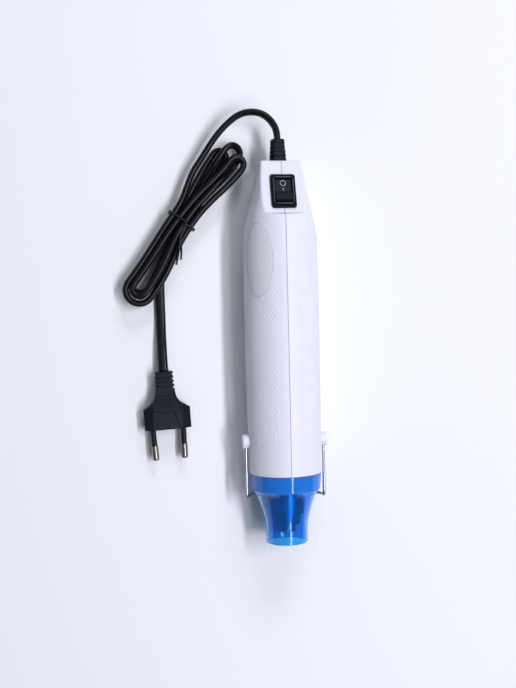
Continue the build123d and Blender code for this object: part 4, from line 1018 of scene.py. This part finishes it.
@dataclass
class CordSet:
    """The flat twin cord from the boot through the tied hank to the plug, and the tie."""

    thickness: float = 3.8
    width: float = 5.9
    stated_length: float = 0.887
    exit_point: Triple = (0.0, 121.5, 21.1)
    curve_steps: int = 14
    step: float = 0.8
    smoothing: int = 6
    section_steps: int = 10
    flatten_run: float = 24.0
    sink: float = 0.03
    hank_centre: Pair = (-58.2, 74.6)
    hank_angle: float = 53.1
    hank_lift: float = 1.3
    lead_share: float = 0.65
    fold_slant: float = 30.0
    tie_radius: float = 0.62
    tie_reach: float = 1.1
    tie_corner: float = 3.5
    tie_steps: int = 10
    tie_sides: int = 12
    knees = [8.0, 20.0, 32.0, 43.0]

    arch_route = [
        (0.0, 121.5, 21.1),
        (0.0, 126.6, 21.1),
        (-2.8, 132.4, 20.7),
        (-7.6, 137.2, 19.8),
        (-14.6, 139.2, 18.4),
        (-22.4, 137.8, 16.8),
        (-29.2, 132.8, 15.2),
        (-35.4, 126.4, 13.6),
        (-40.8, 119.0, 12.2),
        (-46.0, 111.0, 11.3),
    ]
    tail_route = [
        (-71.9, 42.4, 2.2),
        (-72.2, 30.0, 2.0),
        (-71.9, 17.0, 2.1),
        (-72.0, 5.5, 3.6),
        (-71.8, -5.5, 6.3),
        (-71.4, -16.8, 6.9),
    ]
    hank_start = [(20.0, -9.7, 10.6), (8.0, -6.4, 10.9)]
    hank_end = [(-8.0, 4.9, 4.6), (-14.0, 5.8, 3.6)]
    slots_below = [(-6.2, 9.5), (6.5, 9.5), (-2.3, 10.0), (2.5, 10.3), (0.8, 3.0), (-4.0, 3.0)]
    slots_above = [(6.1, 9.6), (-1.9, 9.9), (2.1, 9.7), (-0.1, 3.0), (-4.1, 3.0), (4.0, 3.0)]
    folds_below = [(57.4, -4.6, 12.0, 10.2, 9.5), (53.0, -0.9, 7.9, 11.2, 13.8), (51.0, 7.3, -3.6, 6.5, 3.0)]
    folds_above = [(52.2, 11.6, 2.8, 10.0, 10.8), (57.2, 6.6, -3.9, 3.0, 10.0), (50.4, -8.1, 0.3, 3.0, 3.0)]
    early_shares = [0, 0.45, 0.88, 1]
    late_shares = [0, 0.25, 0.70, 1]
    climb_early_shares = [0, 0.9, 1, 1]
    climb_late_shares = [0, 0, 0.05, 0.97]
    climb_over_shares = [0, 0.6, 1, 1]
    tie_tails = [
        [(0.0, 3.0, 14.9), (-4.0, 3.9, 14.9), (-9.0, 4.6, 15.2), (-15.0, 9.0, 15.0), (-24.0, 12.8, 14.2)],
        [(0.0, 4.2, 14.9), (-4.0, 4.6, 14.9), (-10.5, 5.4, 15.6), (-14.5, 10.4, 14.6), (-19.8, 13.2, 14.0)],
    ]

    def hank_place(self, along: float, across: float, height: float) -> Triple:
        """Find the place on the table of a point of the hank.

        Args:
            along: Distance along the hank from its middle.
            across: Distance across it.
            height: Height above the table.

        Returns:
            The place.
        """
        turn = math.radians(self.hank_angle)
        x = self.hank_centre[0] + along * math.cos(turn) + across * math.sin(turn)
        y = self.hank_centre[1] + along * math.sin(turn) - across * math.cos(turn)
        return (x, y, height)

    def half_run(
        self, slot: Pair, end: Pair, sign: int, spread: list[float], climb: list[float]
    ) -> list[Triple]:
        """Points of a half run from the tie to its fold.

        Args:
            slot: Across and height of the run beside the tie.
            end: Across and height at the fold.
            sign: Minus one for the bottom side, one for the top side.
            spread: Share of the way across at each knee.
            climb: Share of the way up at each knee.

        Returns:
            The points, in the hank's own frame.
        """
        tied = slot[1] + self.hank_lift
        return [
            (sign * knee, slot[0] + share * (end[0] - slot[0]), tied + rise * (end[1] - tied))
            for knee, share, rise in zip(self.knees, spread, climb)
        ]

    def fold_points(self, fold: tuple[float, ...], sign: int) -> list[Triple]:
        """Find the three corners of a fold that turns by half a turn.

        Args:
            fold: How far it reaches, where it is entered and left across the hank, and both heights.
            sign: Minus one for the bottom side, one for the top side.

        Returns:
            The corners, in the hank's own frame.
        """
        reach, entry, leave, entry_level, leave_level = fold
        radius = abs(leave - entry) / 2
        side = radius * math.tan(math.radians(self.fold_slant))
        crown = radius / math.cos(math.radians(self.fold_slant))
        centre = reach - radius
        return [
            (sign * (centre + side), entry, entry_level),
            (sign * (centre + crown), (entry + leave) / 2, (entry_level + leave_level) / 2),
            (sign * (centre + side), leave, leave_level),
        ]

    def route(self) -> list[Triple]:
        """Lay out the whole cord: its arch, the seven runs of its hank, and its tail.

        Returns:
            The route's points, in millimetres.
        """
        early, late = self.early_shares, self.late_shares
        climb_early, climb_late = self.climb_early_shares, self.climb_late_shares
        # ways across and up of each turn's four half runs: down to its fold, back, up to its fold, back
        usual = [(early, climb_early), (early, climb_early), (late, climb_late), (early, climb_late)]
        opening = usual[:3] + [(late, climb_early)]
        over_tail = [(late, self.climb_over_shares), usual[1], (early, climb_late), usual[3]]
        points = list(self.hank_start)
        for index, ways in enumerate((opening, usual, over_tail)):
            slots = self.slots_below[2 * index : 2 * index + 2] + self.slots_above[2 * index : 2 * index + 2]
            sides = ((-1, self.folds_below[index]), (1, self.folds_above[index]))
            for half, (sign, fold) in enumerate(sides):
                there, back = 2 * half, 2 * half + 1
                points += self.half_run(slots[there], (fold[1], fold[3]), sign, *ways[there])
                points += self.fold_points(fold, sign)
                points += self.half_run(slots[back], (fold[2], fold[4]), sign, *ways[back])[::-1]
        points += self.hank_end
        hank = [self.hank_place(*point) for point in points]
        start, second = Vector(hank[0]), Vector(hank[1])
        lead_in = start + (start - second) * self.lead_share
        return self.arch_route + [tuple(lead_in)] + hank + self.tail_route

    def section(self) -> Outline:
        """Draw the flat cord's section, standing on its edge, with round ends.

        Returns:
            The section's points, across and up.
        """
        radius = self.thickness / 2
        rise = self.width / 2 - radius
        points = []
        for centre, start in ((rise, 0.0), (-rise, math.pi)):
            for step in range(self.section_steps + 1):
                turn = start + math.pi * step / self.section_steps
                points.append((radius * math.cos(turn), centre + radius * math.sin(turn)))
        return points

    def flatten(self, line: list[Vector]) -> list[float]:
        """Turn the section along the line: on edge, then flat before the tail.

        Args:
            line: Points of the cord's centre line.

        Returns:
            The turn at each point, in radians.
        """
        first_flat = Vector(self.tail_route[0])
        nearest = min(range(len(line)), key=lambda index: (line[index] - first_flat).length)
        lengths = [0.0]
        for before, after in zip(line, line[1:]):
            lengths.append(lengths[-1] + (after - before).length)
        turns = []
        for length in lengths:
            share = (length - lengths[nearest] + self.flatten_run) / self.flatten_run
            share = min(max(share, 0.0), 1.0)
            turns.append(math.pi / 2 * share * share * (3 - 2 * share))
        return turns

    def cord(self, tie: Piece) -> Piece:
        """Make the cord as one flat tube on a smooth line.

        Args:
            tie: The tie round the hank, not used.

        Returns:
            The cord.
        """
        line = evened(smooth_line(self.route(), self.curve_steps), self.step)
        turns = self.flatten(line)
        radius = self.thickness / 2
        reaches = [radius + (self.width / 2 - radius) * abs(math.cos(turn)) for turn in turns]
        for point, reach in zip(line, reaches):
            point.z = max(point.z, reach)
        for _ in range(self.smoothing):
            levels = [point.z for point in line]
            for index in range(1, len(line) - 1):
                middle = (levels[index - 1] + levels[index] * 2 + levels[index + 1]) / 4
                line[index].z = max(middle, reaches[index] - self.sink)
        mesh = swept_tube("flat_cord", line, self.section(), turns)
        piece = new_piece("flat_cord", mesh, CORD, "root")
        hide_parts("cord_lead", "cord_hank", "cord_tail")
        return piece

    def tie(self) -> Piece:
        """Make the tie: a plastic-covered wire round the hank, twisted once, with two loose tails.

        Returns:
            The tie.
        """
        widest = max(abs(self.slots_above[0][0]), abs(self.slots_below[0][0]))
        half = widest + self.thickness / 2 + self.tie_reach
        top = self.slots_above[1][1] + self.hank_lift + self.width / 2 + self.tie_reach
        low = self.tie_radius
        loop = [
            (0.4, 3.2, top),
            (0.2, -half + 3.0, top - 0.1),
            (0.0, -half + 0.2, top - 0.6),
            (0.0, -half - 0.2, top - self.tie_corner),
            (0.0, -half, low + self.tie_corner),
            (0.0, -half + 1.0, low),
            (0.0, 0.0, low),
            (0.0, half - 1.0, low),
            (0.0, half, low + self.tie_corner),
            (0.0, half + 0.2, top - self.tie_corner),
            (-0.2, half - 0.2, top - 0.5),
            (-0.4, 5.4, top),
            (-0.6, 3.6, top + 0.2),
        ]
        outline = round_outline(self.tie_radius, self.tie_sides)
        meshes = []
        for number, points in enumerate([loop] + self.tie_tails):
            line = smooth_line([self.hank_place(*point) for point in points], self.tie_steps)
            meshes.append(swept_tube(f"tie_{number}", self.lifted(line), outline))
        piece = new_piece("hank_tie_wire", joined("hank_tie_wire", meshes), TIE, "root")
        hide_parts("hank_tie")
        return piece

    def lifted(self, line: list[Vector]) -> list[Vector]:
        """Keep a wire's centre line above the table by its radius."""
        return [Vector((point.x, point.y, max(point.z, self.tie_radius))) for point in line]

    def build(self) -> None:
        """Make the tie and the cord."""
        tie = self.tie()
        cord = self.cord(tie)
        log.info("%s: %d faces", cord.name, len(cord.data.polygons))


@dataclass
class PlugDetails:
    """Ribs of the plug's neck, and the lines of its sunken flare with the grip ridges."""

    end: Pair = (-71.4, -16.8)
    turn: float = 3.2
    ray_start: float = 30.0
    neck_half_width: float = 4.7
    rib_radius: float = 0.75
    rib_sink: float = 0.3
    line_radius: float = 0.22
    ridge_half_width: float = 2.9
    bar_steps: int = 8
    rib_places = [1.0, 3.6, 6.2, 8.8]
    ridge_places = [14.6, 16.8, 19.0, 21.2]
    flare_lines = [
        ((-4.6, -12.4), (-8.4, -23.2)),
        ((4.6, -12.4), (8.4, -23.2)),
        ((-8.4, -23.6), (8.4, -23.6)),
    ]

    def bar(self, surface: Surface, start: Pair, end: Pair, radius: float, lift: float = 0.0) -> Mesh:
        """Lay a thin round bar on the plug between two places of its own plan.

        Args:
            surface: The plug's surface.
            start: First place, across and along the plug, in millimetres.
            end: Last place.
            radius: The bar's radius.
            lift: Height of the bar's middle above the surface.

        Returns:
            The bar.
        """
        turn = math.radians(self.turn)
        line = []
        for step in range(self.bar_steps + 1):
            across = start[0] + (end[0] - start[0]) * step / self.bar_steps
            along = start[1] + (end[1] - start[1]) * step / self.bar_steps
            x = self.end[0] + across * math.cos(turn) - along * math.sin(turn)
            y = self.end[1] + across * math.sin(turn) + along * math.cos(turn)
            line.append(surface.seat(Vector((x, y, self.ray_start)), Vector((0, 0, -1)), lift))
        return swept_tube("bar", line, round_outline(radius))

    def build(self) -> None:
        """Make the ribs, the lines and the ridges."""
        surface = Surface(["plug_body"])
        half = self.neck_half_width
        ribs = [
            self.bar(surface, (-half, -place), (half, -place), self.rib_radius, -self.rib_sink)
            for place in self.rib_places
        ]
        new_piece("plug_neck_ribs", joined("plug_neck_ribs", ribs), PLUG, "root")
        half = self.ridge_half_width
        ridges = [((-half, -place), (half, -place)) for place in self.ridge_places]
        lines = [self.bar(surface, *ends, self.line_radius) for ends in self.flare_lines + ridges]
        new_piece("plug_ridges", joined("plug_ridges", lines), PLUG, "root")
        log.info("plug ribs and ridges made")


@dataclass(frozen=True)
class Lamp:
    """One area lamp that looks at the tool.

    The heading goes from the tool to the lamp, the sizes are its sides across and along the table in metres,
    and the power is in watts.
    """

    name: str
    heading: Triple
    sizes: Pair
    power: float
    distance: float = 1.7
    colour: str = "#F5F5FF"

    def place(self) -> None:
        """Put the lamp at its place."""
        data = bpy.data.lights.new(self.name, "AREA")
        data.shape = "RECTANGLE"
        data.size, data.size_y = self.sizes
        data.energy = self.power
        data.color = linear(self.colour)[:3]
        lamp = placed(self.name, data)
        toward = Vector(self.heading).normalized()
        across = Vector((0, 1, 0)).cross(toward).normalized()
        turn = Matrix((across, toward.cross(across), toward)).transposed().to_4x4()
        lamp.matrix_world = Matrix.Translation(toward * self.distance) @ turn


@dataclass
class Studio:
    """Camera, lamps, pale table and sky."""

    camera_place: Triple = (-97.83, 13.62, 592.09)
    camera_up: Triple = (0.0277, 0.9994, -0.0219)
    camera_back: Triple = (-0.144, 0.0257, 0.9892)
    lens: float = 49.97
    nearest: float = 0.01
    farthest: float = 20.0
    table_colour: str = "#F2F3F6"
    table_half: float = 1.2
    table_level: float = -0.0002
    sky_colour: str = "#E8EDF1"
    sky_strength: float = 0.21
    sky_seen: float = 0.8
    sky_mirrored: Pair = (0.12, 0.5)
    sky_rearward: Pair = (-0.6, 0.8)
    lamps = [
        Lamp("key_lamp", (0.37, 0.0, 0.925), (0.15, 1.1), 18.5),
        Lamp("front_lamp", (0.2, -0.34, 0.88), (0.22, 0.9), 6.0),
        Lamp("rear_lamp", (0.12, 0.8, 0.58), (0.7, 0.5), 8.0),
    ]

    def camera(self) -> None:
        """Make the camera at the photograph's place."""
        back = Vector(self.camera_back).normalized()
        right = Vector(self.camera_up).cross(back).normalized()
        data = bpy.data.cameras.new("camera")
        data.lens = self.lens
        data.clip_start = self.nearest
        data.clip_end = self.farthest
        eye = placed("camera", data)
        turn = Matrix((right, back.cross(right), back)).transposed().to_4x4()
        eye.matrix_world = Matrix.Translation(Vector(self.camera_place) * MM) @ turn
        bpy.context.scene.camera = eye

    def table(self) -> None:
        """Make the pale table."""
        finish = bpy.data.materials.new("pale_table")
        finish.use_nodes = True
        tree = finish.node_tree
        tree.nodes.clear()
        surface = add_node(tree, "ShaderNodeBsdfDiffuse", {"Color": linear(self.table_colour)})
        add_node(tree, "ShaderNodeOutputMaterial", {}, {"Surface": surface.outputs[0]})
        mesh = bpy.data.meshes.new("table")
        half = self.table_half
        corners = [(-half, -half), (half, -half), (half, half), (-half, half)]
        mesh.from_pydata([(x, y, self.table_level) for x, y in corners], [], [[0, 1, 2, 3]])
        mesh.materials.append(finish)
        table = placed("table", mesh)

    def sky(self) -> None:
        """Make the soft light all round, and what metal and clear plastic show of it."""
        world = bpy.data.worlds.new("soft_sky")
        bpy.context.scene.world = world
        world.use_nodes = True
        tree = world.node_tree
        tree.nodes.clear()
        rays = add_node(tree, "ShaderNodeLightPath").outputs
        through = {0: rays["Is Transmission Ray"], 1: rays["Is Camera Ray"]}
        seen = add_node(tree, "ShaderNodeMath", {"operation": "MAXIMUM"}, through).outputs[0]
        heading = add_node(tree, "ShaderNodeTexCoord").outputs["Generated"]
        rearward = add_node(tree, "ShaderNodeSeparateXYZ", {}, {0: heading}).outputs["Y"]
        ends = ("From Min", "From Max", "To Min", "To Max")
        limits = dict(zip(ends, self.sky_rearward + self.sky_mirrored))
        mirrored = add_node(tree, "ShaderNodeMapRange", limits, {"Value": rearward}).outputs[0]
        shown = {0: rays["Is Glossy Ray"], 3: mirrored}
        level = add_node(tree, "ShaderNodeMix", {2: self.sky_strength}, shown).outputs[0]
        level = add_node(tree, "ShaderNodeMix", {3: self.sky_seen}, {0: seen, 2: level}).outputs[0]
        colour = {"Color": linear(self.sky_colour)}
        glow = add_node(tree, "ShaderNodeBackground", colour, {"Strength": level})
        add_node(tree, "ShaderNodeOutputWorld", {}, {0: glow.outputs[0]})

    def build(self) -> None:
        """Set up the whole studio."""
        bpy.context.scene.view_settings.view_transform = "Standard"
        self.camera()
        for lamp in self.lamps:
            lamp.place()
        self.table()
        self.sky()
        log.info("studio ready")


def dress_nodes() -> None:
    """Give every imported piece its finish."""
    for finish, names in FINISHED_NODES.items():
        for name in names.split():
            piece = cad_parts[name]
            piece.data.materials.clear()
            piece.data.materials.append(finish.material())
    log.info("packed pieces dressed")


def main() -> None:
    """Build the studio, the cord, the finishes and the details, in that order."""
    logging.basicConfig(level=logging.INFO, format="%(name)s %(message)s")
    Studio().build()
    CordSet().build()
    dress_nodes()
    Casing().build()
    Switch().build()
    PlugDetails().build()


if __name__ == "__main__":
    main()
